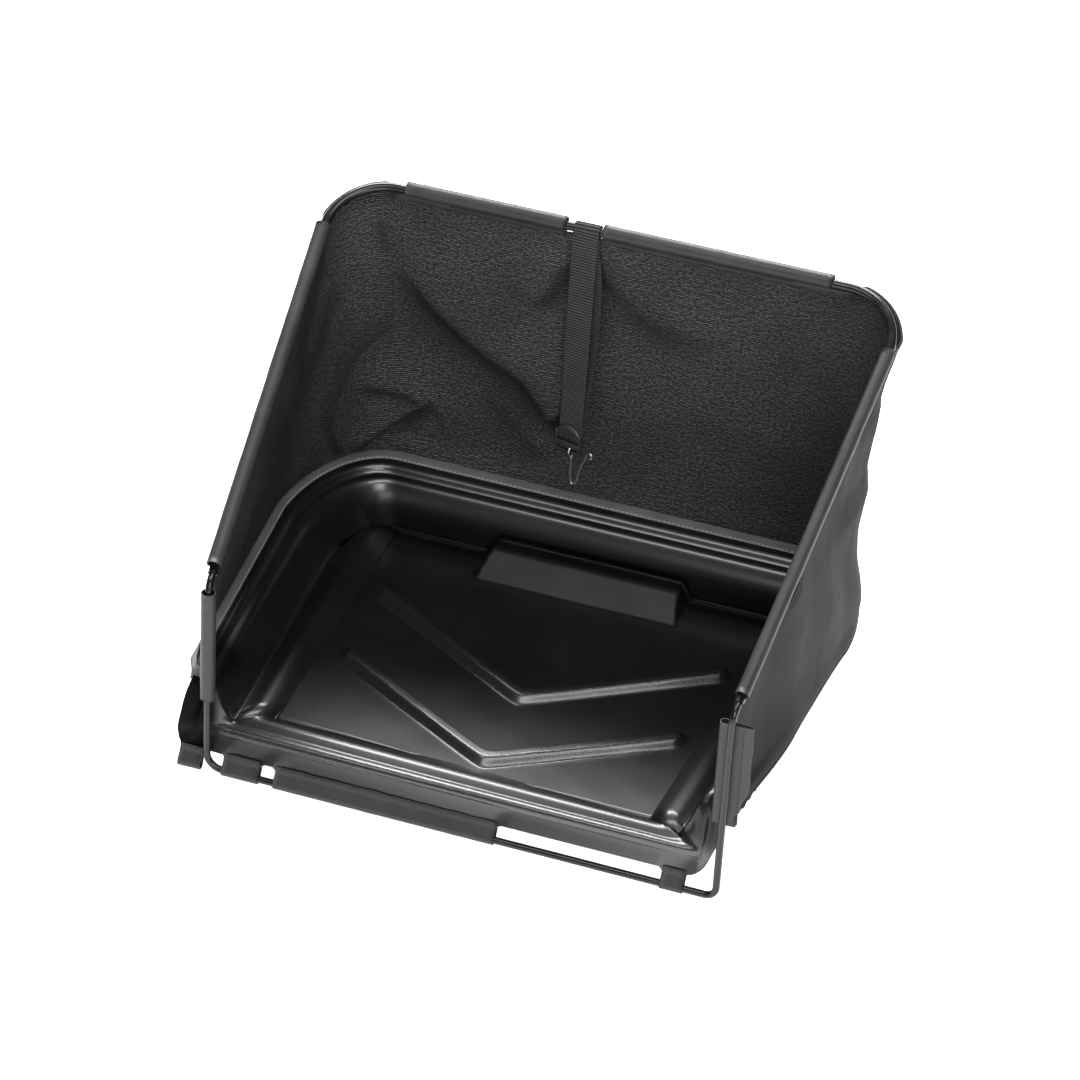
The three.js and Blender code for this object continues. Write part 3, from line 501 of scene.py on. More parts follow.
def tray_material():
    """Gloss black sheet: deep gloss, faint ripple, a grained band where the mould was textured, fine dust and hairline
    scratches. A painted shade takes the gloss off where shade falls."""
    s = Shader("tray_black_satin", Roughness=0.3)
    s.set("Specular IOR Level", 0.55)
    s.set("IOR", 1.5)
    s.set("Coat Weight", 0.7)
    s.set("Coat Roughness", 0.2)
    o = s.coords("Object")
    ripple = s.noise(o, 26.0, 2.0, 0.4)
    fine = s.noise(o, 240.0, 3.0, 0.55)
    grit = s.noise(o, 520.0, 3.0, 0.7)
    dust = s.noise(o, 900.0, 2.0, 0.6)
    patch = s.noise(o, 18.0, 4.0, 0.6)
    g = s.node("ShaderNodeAttribute")
    g.attribute_name = "grain"
    grain = g.outputs["Fac"]
    # painted shade: coat and specular taken off at the front corners and the back of the floor, where shade falls
    d = s.node("ShaderNodeAttribute")
    d.attribute_name = "tray_painted_shade"
    tray_painted_shade = d.outputs["Fac"]
    s.out("Coat Weight", s.remap(tray_painted_shade, 0.0, 1.0, 0.7, 0.0))
    s.out("Specular IOR Level", s.remap(tray_painted_shade, 0.0, 1.0, 0.55, 0.05))
    scr = s.node("ShaderNodeTexNoise")
    scr.inputs["Scale"].default_value = 1.0
    scr.inputs["Detail"].default_value = 5.0
    s.link(s.coords("Object", (30, 700, 300), (0, 0, 0.4)), scr.inputs["Vector"])
    scratch = s.remap(scr.outputs["Fac"], 0.64, 0.72, 0.0, 1.0)
    col = s.math("ADD", s.remap(patch, 0.3, 0.7, 0.001, 0.003), s.math("MULTIPLY", s.remap(dust, 0.7, 0.8, 0.0, 1.0), 0.02))
    s.out("Base Color", s.ramp(s.math("ADD", col, s.math("MULTIPLY", grain, 0.008)), [(0.0, 0.0), (1.0, 1.0)]))
    r = s.math("ADD", s.remap(patch, 0.3, 0.7, 0.37, 0.43), s.math("MULTIPLY", scratch, 0.05))
    r = s.math("ADD", r, s.math("MULTIPLY", tray_painted_shade, 0.2))
    s.out("Roughness", s.math("SUBTRACT", r, s.math("MULTIPLY", grain, 0.16)))
    n1 = s.bump(s.math("ADD", ripple, s.math("MULTIPLY", fine, 0.06)), 0.16, 0.0011)
    n2 = s.bump(s.math("MULTIPLY", grit, grain), 0.6, 0.0008, n1)
    s.out("Normal", n2)
    return s.m


def webbing_material(name, base, hi, pitch=1.55):
    s = Shader(name, Roughness=0.8)
    s.set("Specular IOR Level", 0.25)
    uv = s.coords("UV", (100, 100, 100))
    rib = s.wave(uv, 0.314159 / pitch, "X", 0.5, dscale=0.3)
    cross = s.wave(uv, 0.314159 / 0.95, "Y", 0.4, dscale=0.3)
    fine = s.noise(uv, 1.6, 3.0, 0.7)
    patch = s.noise(uv, 0.05, 3.0, 0.5)
    v = s.math("MULTIPLY", s.remap(rib, 0.1, 1.0, 0.05, 1.0), s.remap(fine, 0.25, 0.75, 0.55, 1.1))
    v = s.math("MULTIPLY", v, s.remap(cross, 0.0, 1.0, 0.8, 1.0))
    v = s.math("MULTIPLY", v, s.remap(patch, 0.3, 0.7, 0.85, 1.1), clamp=True)
    s.out("Base Color", s.ramp(v, [(0.0, base), (1.0, hi)]))
    s.out("Normal", s.bump(s.math("ADD", rib, s.math("MULTIPLY", cross, 0.3)), 0.55, 0.0005))
    return s.m


def plastic_material(name, base, rough=0.3):
    s = Shader(name, Roughness=rough)
    s.set("Specular IOR Level", 0.5)
    o = s.coords("Object")
    a = s.noise(o, 300.0, 4.0, 0.6)
    b = s.noise(o, 90.0, 3.0, 0.6)
    s.out("Base Color", s.ramp(b, [(0.3, tuple(c * 0.8 for c in base)), (0.7, tuple(c * 1.25 for c in base))]))
    s.out("Roughness", s.remap(a, 0.3, 0.7, rough - 0.06, rough + 0.1))
    s.out("Normal", s.bump(a, 0.12, 0.0002))
    return s.m


def zinc_material():
    s = Shader("zinc_wire", Metallic=1.0, Roughness=0.3)
    o = s.coords("Object")
    a = s.noise(o, 500.0, 4.0, 0.6)
    b = s.noise(o, 120.0, 4.0, 0.7)
    s.out("Base Color", s.ramp(b, [(0.3, (0.42, 0.42, 0.42)), (0.7, (0.72, 0.72, 0.71))]))
    s.out("Roughness", s.remap(a, 0.3, 0.7, 0.22, 0.42))
    s.out("Normal", s.bump(a, 0.15, 0.0002))
    return s.m


def thread_material(name, base):
    s = Shader(name, Roughness=0.6)
    o = s.coords("Object")
    a = s.noise(o, 1500.0, 2.0, 0.6)
    s.out("Base Color", s.ramp(a, [(0.3, tuple(c * 0.7 for c in base)), (0.7, tuple(c * 1.3 for c in base))]))
    s.out("Normal", s.bump(a, 0.4, 0.0002))
    return s.m


M_TRAY = tray_material()
M_PAINT = paint_material("frame_black_paint", (0.006, 0.006, 0.006))
M_VINYL = vinyl_material("vinyl_grey", (0.027, 0.027, 0.0275), 0.45)
# painted highlight: the hem vinyl is lighter than the other vinyl, standing for the light on the flange's top face
M_HEM_PAINTED_HIGHLIGHT = vinyl_material("vinyl_hem_painted_highlight", (0.1, 0.1, 0.101), 0.45)
M_VINYL_DARK = vinyl_material("vinyl_dark", (0.02, 0.02, 0.0205), 0.5)
M_CLOTH = cloth_material("cloth_inside", (0.009, 0.009, 0.0095), (0.2, 0.2, 0.197), bump=0.4, gain=1.25, painted_fold_shade=True)
M_CLOTH_OUT = cloth_material("cloth_outside", (0.01, 0.01, 0.0105), (0.021, 0.021, 0.0215), pitch=0.8, rough=0.8, bump=0.1)
M_TAPE = webbing_material("hem_tape_weave", (0.012, 0.012, 0.012), (0.04, 0.04, 0.04), 0.9)
M_WEB = webbing_material("strap_weave", (0.007, 0.007, 0.007), (0.06, 0.06, 0.06), 2.4)
M_BUCKLE = plastic_material("buckle_black", (0.022, 0.022, 0.022), 0.3)
M_ZINC = zinc_material()
M_THREAD = thread_material("thread_grey", (0.3, 0.3, 0.3))
M_THREAD_DARK = thread_material("thread_dark", (0.012, 0.012, 0.012))

# ------------------------------------------------------------------ frame
KNEE = np.array([191.0, 0, 153.0])
BOW = np.array([215.0, 294.0, 325.0])
KNEE_L = KNEE * [-1, 1, 1]
BOW_L = BOW * [-1, 1, 1]
RAKE = unit(BOW - KNEE)
RAKE_L = RAKE * [-1, 1, 1]

rod_path = densify(
    bent(
        [KNEE_L + RAKE_L * 30, KNEE_L, [-190, 0, 0], [190, 0, 0], KNEE, KNEE + RAKE * 30],
        [15, 12, 8, 15],
    ),
    6.0,
)
wob = waves(5, 4, 60, 240, 3)
rod_path = rod_path + np.stack([wob(rod_path + k * 31) for k in range(3)], -1) * 0.12
p = Pile()
p.add(*tube(rod_path, 2.6, 24, (1, 0, 0)))
rod = p.make("frame_rod", M_PAINT, slot="frame_paint")
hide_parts("lower_frame_rod")

tube_path = densify(bent([KNEE_L + RAKE_L * 10.5, BOW_L, BOW, KNEE + RAKE * 10.5], [42, 42], 22), 8.0)
p = Pile()
p.add(*tube(tube_path, 3.5, 30, (1, 0, 0), bore=2.85))
bow_tube = p.make("frame_tube", M_PAINT, slot="frame_paint")
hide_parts("upper_frame_tube")


def leg(s, y):
    t = (y - KNEE[1]) / (BOW[1] - KNEE[1])
    return (KNEE + (BOW - KNEE) * t) * [s, 1, 1]


# ------------------------------------------------------------------- tray
NX, NC = 168, 12
TRAY_X = -12.0
RINGS = [
    dict(hw=198.0, g=0.1, rear=336, cx=58, cy=104, front=(3.6, 3.2, 3.6), z=71.2, zf=11, zr=72.2, fx=(-210, 168)),
    dict(hw=187.2, g=0.1, rear=321, cx=48, cy=90, front=(10, 8.4, 8.4), z=70, zf=23, zr=70, fx=(-197, 172)),
    dict(hw=180.5, g=0.095, rear=312, cx=44, cy=82, front=(11.4, 8.8, 8.6), z=61, zf=26.6, zr=62, fx=(-192, 173)),
    dict(hw=174.6, g=0.087, rear=306.5, cx=40, cy=74, front=(13.6, 10, 9.2), z=48, zf=27.6, zr=48, fx=(-190, 173)),
    dict(hw=165.5, g=0.067, rear=305, cx=32, cy=60, front=(18, 15, 14), z=27.2, zf=27.6, zr=28, fx=(-177, 160)),
    dict(hw=156.2, g=0.055, rear=303, cx=14, cy=22, front=(25.5, 21.6, 20), z=31.6, zf=30.2, zr=26.4, fx=(-167, 146)),
    dict(hw=151.2, g=0.055, rear=302, cx=10, cy=16, front=(28.5, 24.6, 23), z=31.6, zf=30.2, zr=26.2, fx=(-162, 141)),
    dict(hw=141.4, g=0.035, rear=301, cx=3, cy=4, front=(38, 37, 31.5), z=26, zf=26, zr=26, fx=(-152.5, 130)),
]
GUIDE_L = [
    [(-206, 9, 68), (-209.5, 5.5, 54), (-212.5, 4.2, 38), (-214.5, 3.8, 23), (-211, 3.6, 12.5)],
    [(-196.8, 13, 66), (-197.5, 11, 54), (-199.5, 10, 40), (-201, 9.6, 29.5), (-197, 9.8, 24)],
    [(-190.5, 14.5, 56), (-192.5, 12.5, 44), (-194.5, 11.8, 34), (-193.5, 11.4, 28.5)],
    [(-186.8, 17, 42), (-189, 14.6, 34), (-189.6, 13.6, 29.5)],
    [(-178.6, 22, 27.4), (-178, 19, 27.4)],
    [(-169.6, 27, 31.4), (-167, 25.6, 30.8)],
    [(-164.6, 30, 31.4), (-161.6, 28.6, 30.6)],
    [(-154.2, 39, 26), (-153.2, 38.2, 26)],
]
GUIDE_R = [
    [(187.0, 16, 66), (188.0, 12, 52), (186.5, 8, 40), (183, 5, 30), (177.5, 3.9, 17), (169, 3.5, 9.6)],
    [(176.4, 18, 64), (176.6, 14, 52), (176.4, 11.5, 40), (176.4, 10, 31), (174.4, 9, 25)],
    [(170.4, 18.6, 55), (171.4, 14.6, 44), (172.4, 11.2, 34), (173, 9.4, 28.6)],
    [(164.8, 19, 42), (167.6, 14, 34), (170.4, 10.6, 29.4)],
    [(156.4, 20, 27.4), (158, 16, 27.4)],
    [(146.8, 23, 31.4), (146, 21, 30.8)],
    [(141.8, 26, 31.4), (141, 24, 30.6)],
    [(131.4, 33, 26), (130.6, 32, 26)],
]
CHEV = [dict(l=(-138, 138.5), a=(0, 56.5), r=(121.5, 136.5)), dict(l=(-144, 226), a=(-2, 138.5), r=(126, 227))]


def ridge_y(c, x):
    (xl, yl), (xa, ya), (xr, yr) = c["l"], c["a"], c["r"]
    ml, mr = (yl - ya) / (xa - xl), (yr - ya) / (xr - xa)
    d = np.asarray(x, float) - xa
    soft = np.sqrt(d * d + 16) - 4
    return ya + np.where(d < 0, ml, mr) * soft


def row_plan(x, y0, y1):
    """Depths of the floor's rows in the column at x, dense over the ribs."""
    r1, r2 = ridge_y(CHEV[0], x), ridge_y(CHEV[1], x)
    marks = [y0, max(r1 - 16, y0 + 1), r1 + 6, r2 - 16, r2 + 6, 262, 294, y1]
    counts = [14, 26, 16, 26, 20, 26, 13]
    ys = [y0]
    for a, b, n in zip(marks[:-1], marks[1:], counts):
        ys += [a + (b - a) * k / n for k in range(1, n + 1)]
    return np.array(ys)


NY = 14 + 26 + 16 + 26 + 20 + 26 + 13


def ring_sides(k):
    r = RINGS[k]
    sharp = 1 - k / (len(RINGS) - 1)
    ux = lambda y: r["hw"] + r["g"] * y
    yc = r["rear"] - r["cy"]
    sides = {}
    for sgn, key in ((-1, "left"), (1, "right")):
        y0 = lerp(r["front"][0], 22, sharp) if sgn < 0 else lerp(r["front"][2], 26, sharp)
        base = row_plan(-153.0 if sgn < 0 else 131.0, 38.0 if sgn < 0 else 31.5, 301.0)
        t = (base - base[NC]) / (base[NY - NC] - base[NC])
        pts = np.zeros((NY + 1, 3))
        for i in range(NC, NY + 1):
            if i <= NY - NC:
                y = lerp(y0, yc, t[i])
                pts[i] = (TRAY_X + sgn * ux(y), y, r["z"])
            else:
                a = (i - (NY - NC)) / NC * math.pi / 4
                x = ux(yc) - r["cx"] + r["cx"] * math.cos(a)
                pts[i] = (TRAY_X + sgn * x, yc + r["cy"] * math.sin(a), lerp(r["z"], r["zr"], float(sstep(0, math.pi / 2, a))))
        sides[key] = pts
    rear = np.zeros((NX + 1, 3))
    half = ux(yc) - r["cx"]
    for i in range(NX + 1):
        if i < NC or i > NX - NC:
            s, m = (-1, i) if i < NC else (1, NX - i)
            a = math.pi / 4 + m / NC * math.pi / 4
            rear[i] = (TRAY_X + s * (half + r["cx"] * math.cos(a)), yc + r["cy"] * math.sin(a), lerp(r["z"], r["zr"], float(sstep(0, math.pi / 2, a))))
        else:
            rear[i] = (TRAY_X + lerp(-half, half, (i - NC) / (NX - 2 * NC)), r["rear"], r["zr"])
    front = np.zeros((NX + 1, 3))
    inset = lerp(3, 16, sharp)
    a_, b_, c_ = r["front"]
    for i in range(NC, NX - NC + 1):
        u = (i - NC) / (NX - 2 * NC)
        x = lerp(r["fx"][0] + inset, r["fx"][1] - inset, u)
        y = a_ * (1 - u) * (1 - 2 * u) + 4 * b_ * u * (1 - u) + c_ * u * (2 * u - 1)
        front[i] = (x, y, r["zf"])
    for key, g, s in (("left", GUIDE_L, -1), ("right", GUIDE_R, 1)):
        end = front[NC] if s < 0 else front[NX - NC]
        c = smooth_path([sides[key][NC], *g[k], end], 2 * NC + 1)
        for i in range(NC + 1):
            sides[key][NC - i] = c[i]
            j = NC + i
            if s < 0:
                front[i] = c[NC + i]
            else:
                front[NX - i] = c[NC + i]
    sides["left"][NY] = rear[0]
    sides["right"][NY] = rear[NX]
    return front, sides["right"], rear, sides["left"]


def ring_loop(k):
    f, r, b, l = ring_sides(k)
    return np.vstack([f[:-1], r[:-1], b[::-1][:-1], l[::-1][:-1]])


key_loops = [ring_loop(k) for k in range(len(RINGS))]
P = len(key_loops[0])
# the front edge reaches down under the tabs and is nibbled between them
TABS = [(-211.5, -194.5), (-178, -150.5), (-138.5, 27.5), (150, 166.5)]
k0 = key_loops[0]
front_edge = np.arange(P) <= NX
under = np.zeros(P)
for a, b in TABS:
    under = np.maximum(under, sstep(a - 0.5, a + 1.5, k0[:, 0]) * (1 - sstep(b - 1.5, b + 0.5, k0[:, 0])))
low = front_edge & (k0[:, 2] < 16)
k0[:, 2] = np.where(low, k0[:, 2] - under * 5.5, k0[:, 2])

cross = []


def between(a, b, t):
    return key_loops[a] * (1 - t) + key_loops[b] * t


wall_w = np.clip((key_loops[1][:, 2] - key_loops[3][:, 2]) / 22.0, 0, 1)


def wall(a, b, t, dz):
    q = between(a, b, t)
    q[:, 2] += dz * wall_w
    return q


centre = np.array([TRAY_X, 165.0, 0])
tang = unit(np.roll(k0, -1, 0) - np.roll(k0, 1, 0))
inward = unit(key_loops[1] - key_loops[0])
side = unit(np.cross(tang, inward))  # along the sheet's own normal
side = np.where((side[:, 2] + 0.6 * -side[:, 1])[:, None] < 0, -side, side)
cw = sstep(14, 26, k0[:, 2]) * (1 - sstep(50, 68, k0[:, 2]))
bulge = (cw * (k0[:, 1] < 60))[:, None]
loops = [
    k0 + inward * 7.0 - side * 1.7,
    k0 + inward * 1.2 - side * 1.65,
    k0 + inward * 0.15 - side * 1.1,
    k0 - side * 0.35,
    k0 + inward * 0.5,
    between(0, 1, 0.3) + side * bulge * 1.6,
    between(0, 1, 0.6) + side * bulge * 2.2,
    between(0, 1, 0.88) + side * bulge * 0.8,
    between(0, 1, 0.94) + np.array([0, 0, 0.45]),
    key_loops[1] + np.array([0, 0, 0.45]),
    wall(1, 2, 0.16, -3.2),
    wall(1, 2, 0.55, -1.9),
    wall(1, 2, 0.92, 1.3),
    wall(2, 3, 0.3, 2.6),
    wall(2, 3, 0.65, 2.6),
    wall(2, 3, 0.9, 1.0),
    wall(3, 4, 0.3, -1.5),
    wall(3, 4, 0.86, -0.6),
    key_loops[4],
    between(4, 5, 0.45),
    key_loops[5],
    key_loops[6],
    between(6, 7, 0.6),
    key_loops[7] * [1, 1, 0] + [0, 0, 26.02],
]


def across(loops, sub):
    """Catmull-Rom from ring to ring."""
    L = np.array(loops)
    out = []
    for i in range(len(L) - 1):
        p0, p1, p2, p3 = L[max(0, i - 1)], L[i], L[i + 1], L[min(len(L) - 1, i + 2)]
        m1 = (p2 - p0) * 0.5
        m2 = (p3 - p1) * 0.5
        # keep the slopes no longer than the step, so close rings stay crisp
        step = np.linalg.norm(p2 - p1, axis=1, keepdims=True)
        m1 = m1 * np.minimum(1, 1.15 * step / np.maximum(np.linalg.norm(m1, axis=1, keepdims=True), 1e-9))
        m2 = m2 * np.minimum(1, 1.15 * step / np.maximum(np.linalg.norm(m2, axis=1, keepdims=True), 1e-9))
        n = sub[i]
        for k in range(n):
            t = k / n
            out.append((2 * t**3 - 3 * t**2 + 1) * p1 + (t**3 - 2 * t**2 + t) * m1 + (-2 * t**3 + 3 * t**2) * p2 + (t**3 - t**2) * m2)
    out.append(L[-1])
    return np.array(out)


SUB = [1, 1, 1, 2, 2, 2, 2, 1, 2, 2, 3, 3, 3, 3, 2, 2, 4, 2, 2, 2, 2, 3, 2]
rings = across(loops, SUB)
NR = len(rings)


def rib_height(x, y):
    h = np.zeros_like(x)
    for c in CHEV:
        slope = np.where(x < c["a"][0], 0.61, 0.68)
        d = (y - ridge_y(c, x)) / np.sqrt(1 + slope**2)
        prof = 5.5 * (1 - sstep(0.4, 3.8, d)) * sstep(-12.2, -4.6, d) * (1 + 0.02 * np.clip(d, -6, 0))
        ends = sstep(c["l"][0] - 2.5, c["l"][0] + 3.0, x) * (1 - sstep(c["r"][0] - 3.0, c["r"][0] + 2.5, x))
        h = np.maximum(h, prof * ends)
    return h


def wedge_height(x, y):
    def smin(a, b, k=1.2):
        h = np.clip(0.5 + 0.5 * (b - a) / k, 0, 1)
        return b * (1 - h) + a * h - k * h * (1 - h)

    w = smin((y - 265.5) / 24.5 * 14, np.full_like(y, 14.0), 1.0)
    w = smin(w, (x + 88.0) / 5.0 * 14, 2.0)
    w = smin(w, (71.0 - x) / 6.5 * 14, 2.0)
    return np.maximum(w, 0)


front, right, rear, left = (a.copy() for a in ring_sides(7))
cols = []
for i in range(NX + 1):
    f0, r0 = front[i], rear[i]
    if i == 0:
        cols.append(left)
        continue
    if i == NX:
        cols.append(right)
        continue
    xm = (f0[0] + r0[0]) / 2
    ys = row_plan(xm, f0[1], r0[1])
    t = (ys - f0[1]) / (r0[1] - f0[1])
    xs = f0[0] + (r0[0] - f0[0]) * t
    cols.append(np.stack([xs, ys, np.full_like(ys, 26.0)], -1))
floor = np.array(cols)
floor[..., 2] = 26.0
ripple = waves(11, 9, 25, 110, 2)
fx_, fy_ = floor[..., 0], floor[..., 1]
for q in (floor,):
    q[..., 2] += rib_height(fx_, fy_)
    q[..., 2] = np.maximum(q[..., 2], 26 + wedge_height(fx_, fy_))
rear_part = rings[..., 1] > 262
rings[..., 2] = np.where(rear_part & (rings[..., 2] < 40.1), np.maximum(rings[..., 2], 26 + wedge_height(rings[..., 0], rings[..., 1]) * (rings[..., 1] < 309)), rings[..., 2])
# the sheet is not perfectly flat
inside = floor[1:-1, 1:-1]
inside[..., 2] += ripple(inside[..., :2]) * 0.10 * sstep(0, 12, np.minimum(inside[..., 0] + 154, 131 - inside[..., 0]))

# one mesh: rings, then the floor's inner points
verts = rings.reshape(-1, 3)
faces = grid_faces(NR, P, close_v=True).tolist()
last = (NR - 1) * P
idx = np.zeros((NX + 1, NY + 1), int)
idx[:, 0] = last + np.arange(NX + 1)
idx[NX, :] = last + NX + np.arange(NY + 1)
idx[:, NY] = last + NX + NY + (NX - np.arange(NX + 1))
idx[0, 1:] = last + 2 * NX + NY + (NY - np.arange(1, NY + 1))
idx[0, 0] = last
inner = floor[1:-1, 1:-1]
idx[1:-1, 1:-1] = len(verts) + np.arange(inner.shape[0] * inner.shape[1]).reshape(inner.shape[:2])
verts = np.vstack([verts, inner.reshape(-1, 3)])
faces += np.stack([idx[:-1, :-1], idx[1:, :-1], idx[1:, 1:], idx[:-1, 1:]], -1).reshape(-1, 4).tolist()
n_top = len(faces)
# the underside, coarser, 1.6 mm below
fa = np.array(faces)
nrm = np.zeros_like(verts)
fn = np.cross(verts[fa[:, 2]] - verts[fa[:, 0]], verts[fa[:, 3]] - verts[fa[:, 1]])
for k in range(4):
    np.add.at(nrm, fa[:, k], fn)
nrm = unit(nrm)
if nrm[idx[NX // 2, NY // 2]][2] < 0:
    nrm = -nrm
    faces = [f[::-1] for f in faces]
start_ring = 5  # the outer rings are already the rolled edge
rr = list(range(start_ring, NR, 2))
if rr[-1] != NR - 1:
    rr.append(NR - 1)
pp = np.arange(0, P, 2)
below = rings[rr][:, pp] - nrm[: NR * P].reshape(NR, P, 3)[rr][:, pp] * 1.6
base = len(verts)
verts = np.vstack([verts, below.reshape(-1, 3)])
under_faces = grid_faces(len(rr), len(pp), close_v=True, base=base, flip=True).tolist()
ci, cj = np.arange(0, NX + 1, 2), np.arange(0, NY + 1, 2)
if cj[-1] != NY:
    cj = np.append(cj, NY)
fl_low = verts[idx[np.ix_(ci, cj)]] - nrm[idx[np.ix_(ci, cj)]] * 1.6
base2 = len(verts)
verts = np.vstack([verts, fl_low.reshape(-1, 3)])
under_faces += grid_faces(len(ci), len(cj), base=base2, flip=True).tolist()
faces += under_faces
tray = build("tray_moulding", verts, faces, M_TRAY, slot="tray_plastic")
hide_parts("tray")
# where the mould's surface is grained: the ribs' front bevels and the lip
grain = np.zeros(len(verts))
for c in CHEV:
    slope = np.where(verts[:, 0] < c["a"][0], 0.61, 0.68)
    d = (verts[:, 1] - ridge_y(c, verts[:, 0])) / np.sqrt(1 + slope**2)
    near = sstep(-13.5, -11.5, d) * (1 - sstep(-3.5, 0.5, d))
    near *= sstep(c["l"][0] - 4, c["l"][0], verts[:, 0]) * (1 - sstep(c["r"][0], c["r"][0] + 4, verts[:, 0]))
    grain = np.maximum(grain, near * (verts[:, 2] > 25.4))
lipband = 0.8 * (1 - sstep(11.5, 14.5, verts[:, 1])) * sstep(21, 23.5, verts[:, 2]) * (1 - sstep(28, 34, verts[:, 2]))
grain = np.maximum(grain, lipband)
att = tray.data.attributes.new("grain", "FLOAT", "POINT")
att.data.foreach_set("value", grain.astype(np.float32))

# ------------------------------------------------------------------ sleeves


def sleeve_line(r, slit, flap, n=26, swing=0.0):
    a0 = math.asin(slit / r)
    pts = [(flap, slit), ((flap + r) / 2 + 0.3, slit * 1.02)]
    for k in range(n + 1):
        a = lerp(a0, 2 * math.pi - a0, k / n)
        pts.append((r * math.cos(a), r * math.sin(a)))
    pts += [((flap + r) / 2 + 0.3, -slit * 1.02), (flap, -slit)]
    return np.array(pts)


def sleeve(name, path, down, r, slit, flap, mat, seed, replaces, thick=0.85):
    n = len(path)
    wv = waves(seed, 5, 25, 160, 1)
    outs = []
    for i in range(n):
        q = wv(np.array([i * 400.0 / n]))
        line = sleeve_line(r * (1 + 0.018 * q), slit, flap + 0.35 * q)
        outs.append(strip_outline(line, thick))
    p = Pile()
    p.add(*extrude(np.array(outs), path, down))
    o = p.make(name, mat, slot="vinyl")
    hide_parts(*replaces)
    return o


for s, nm in ((-1, "left"), (1, "right")):
    a, b = leg(s, 14.5), leg(s, 257)
    path = np.array([a + (b - a) * t for t in np.linspace(0, 1, 60)])
    t_ = unit(b - a)
    dn = np.array([s * -0.10, 0.06, -1.0])
    dn = unit(dn - t_ * (dn @ t_))
    if s < 0:
        path = path + np.array([-1.0, 0, 0.5])
    sleeve("sleeve_rake_" + nm, path, dn, 4.9 if s < 0 else 4.5, 0.72, 10.4, M_VINYL, 21 + s, ["rake_sleeve_" + nm])
for nm, x0, x1, sd in (("left", -163, -41, 31), ("right", -12.5, 158, 33)):
    path = np.stack([np.linspace(x0, x1, 50), np.full(50, 294.4), np.full(50, 326.1)], -1)
    sleeve("sleeve_top_" + nm, path, unit([0, 0.12, -0.99]), 5.0, 0.72, 10.4, M_VINYL, sd, ["top_sleeve_" + nm])
path = np.array([[-190.25, 0, 59], [-190.6, 0, 148.5]])
path = path[0] + (path[1] - path[0]) * np.linspace(0, 1, 40)[:, None]
sleeve("sleeve_upright_left", path, (0, 1, 0), 4.95, 0.7, 10.2, M_VINYL, 41, ["upright_sleeve_left"])

# the right upright sleeve: a narrow loop behind the rod with a sewn flap
zs = np.linspace(59, 142.5, 60)
outs, path = [], []
for z in zs:
    k = (z - 59) / (142.5 - 59)
    edge = 204.8 - 4.8 * (1 - sstep(76, 90, z)) * sstep(59, 76, z) - 9.5 * (1 - sstep(59, 76, z)) + 0.3 * math.sin(z * 0.21)
    line = [(edge, 5.5), (198.5, 5.0), (192.0, 4.5), (187.0, 4.1)]
    for q in np.linspace(280, 80, 18):
        a = math.radians(q)
        line.append((184.0 + 3.15 * math.cos(a), 7.2 + 3.15 * math.sin(a)))
    line += [(188.0, 9.0), (192.9, 8.0), (198.5, 7.5), (edge, 7.0)]
    outs.append(strip_outline(np.array(line), 0.85))
    path.append((0, 0, z))
p = Pile()
p.add(*extrude(np.array(outs), np.array(path, float), (1, 0, 0)))
flap = p.make("sleeve_upright_right", M_VINYL, slot="vinyl")
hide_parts("upright_sleeve_right")

# tabs on the bottom bar
for i, (x0, x1) in enumerate(TABS):
    line = [(2.6, 13.0), (2.1, 9.6), (0.9, 6.6), (-1.2, 4.6)]
    for k in range(17):
        a = math.radians(lerp(142, 352, k / 16))
        line.append((3.4 * math.cos(a), 3.4 * math.sin(a)))
    line += [(4.6, 2.2), (6.3, 5.6), (7.0, 9.0), (7.2, 12.2)]
    n = max(6, int((x1 - x0) / 3))
    wv = waves(61 + i, 5, 12, 70, 1)
    xs = np.linspace(x0, x1, n)
    outs = []
    for x in xs:
        l = np.array(line)
        l = l * (1 + 0.015 * wv(np.array([x])))
        l[:2, 1] += 0.12 * wv(np.array([x * 1.7 + 40]))
        outs.append(strip_outline(l, 0.85))
    p = Pile()
    p.add(*extrude(np.array(outs), np.stack([xs, 0 * xs, 0 * xs], -1), (0, 1, 0)))
    o = p.make("tab_%d" % (i + 1), M_VINYL, slot="vinyl")
    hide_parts("front_tab_%d" % (i + 1))

# a mask that takes gloss away to match the picture's shading, not a real change of
# finish: the two front corners and the back of the floor
tray_me = bpy.data.objects["tray_moulding"].data
tv = np.zeros(len(tray_me.vertices) * 3)
tray_me.vertices.foreach_get("co", tv)
tv = tv.reshape(-1, 3) * 1000
ty_ = (tv[:, 1] + 170) * 0.995628 - (tv[:, 2] - 3.85) * 0.09341
tz_ = (tv[:, 1] + 170) * 0.09341 + (tv[:, 2] - 3.85) * 0.995628
tx_ = tv[:, 0] - 9.5
# painted shade: the mask's weight is highest at the front-left corner and the rear floor strip
tray_painted_shade_v = (1 - sstep(-192, -184, tx_)) * (1 - sstep(50, 90, ty_))
tray_painted_shade_v = np.maximum(tray_painted_shade_v, 0.6 * sstep(150, 170, tx_) * (1 - sstep(25, 50, ty_)) * sstep(28, 40, tz_))
tray_painted_shade_v = np.maximum(tray_painted_shade_v, 0.9 * sstep(288, 294, ty_) * (1 - sstep(42, 60, tz_)))
da_ = tray_me.attributes.new("tray_painted_shade", "FLOAT", "POINT")
da_.data.foreach_set("value", tray_painted_shade_v.astype(np.float32))

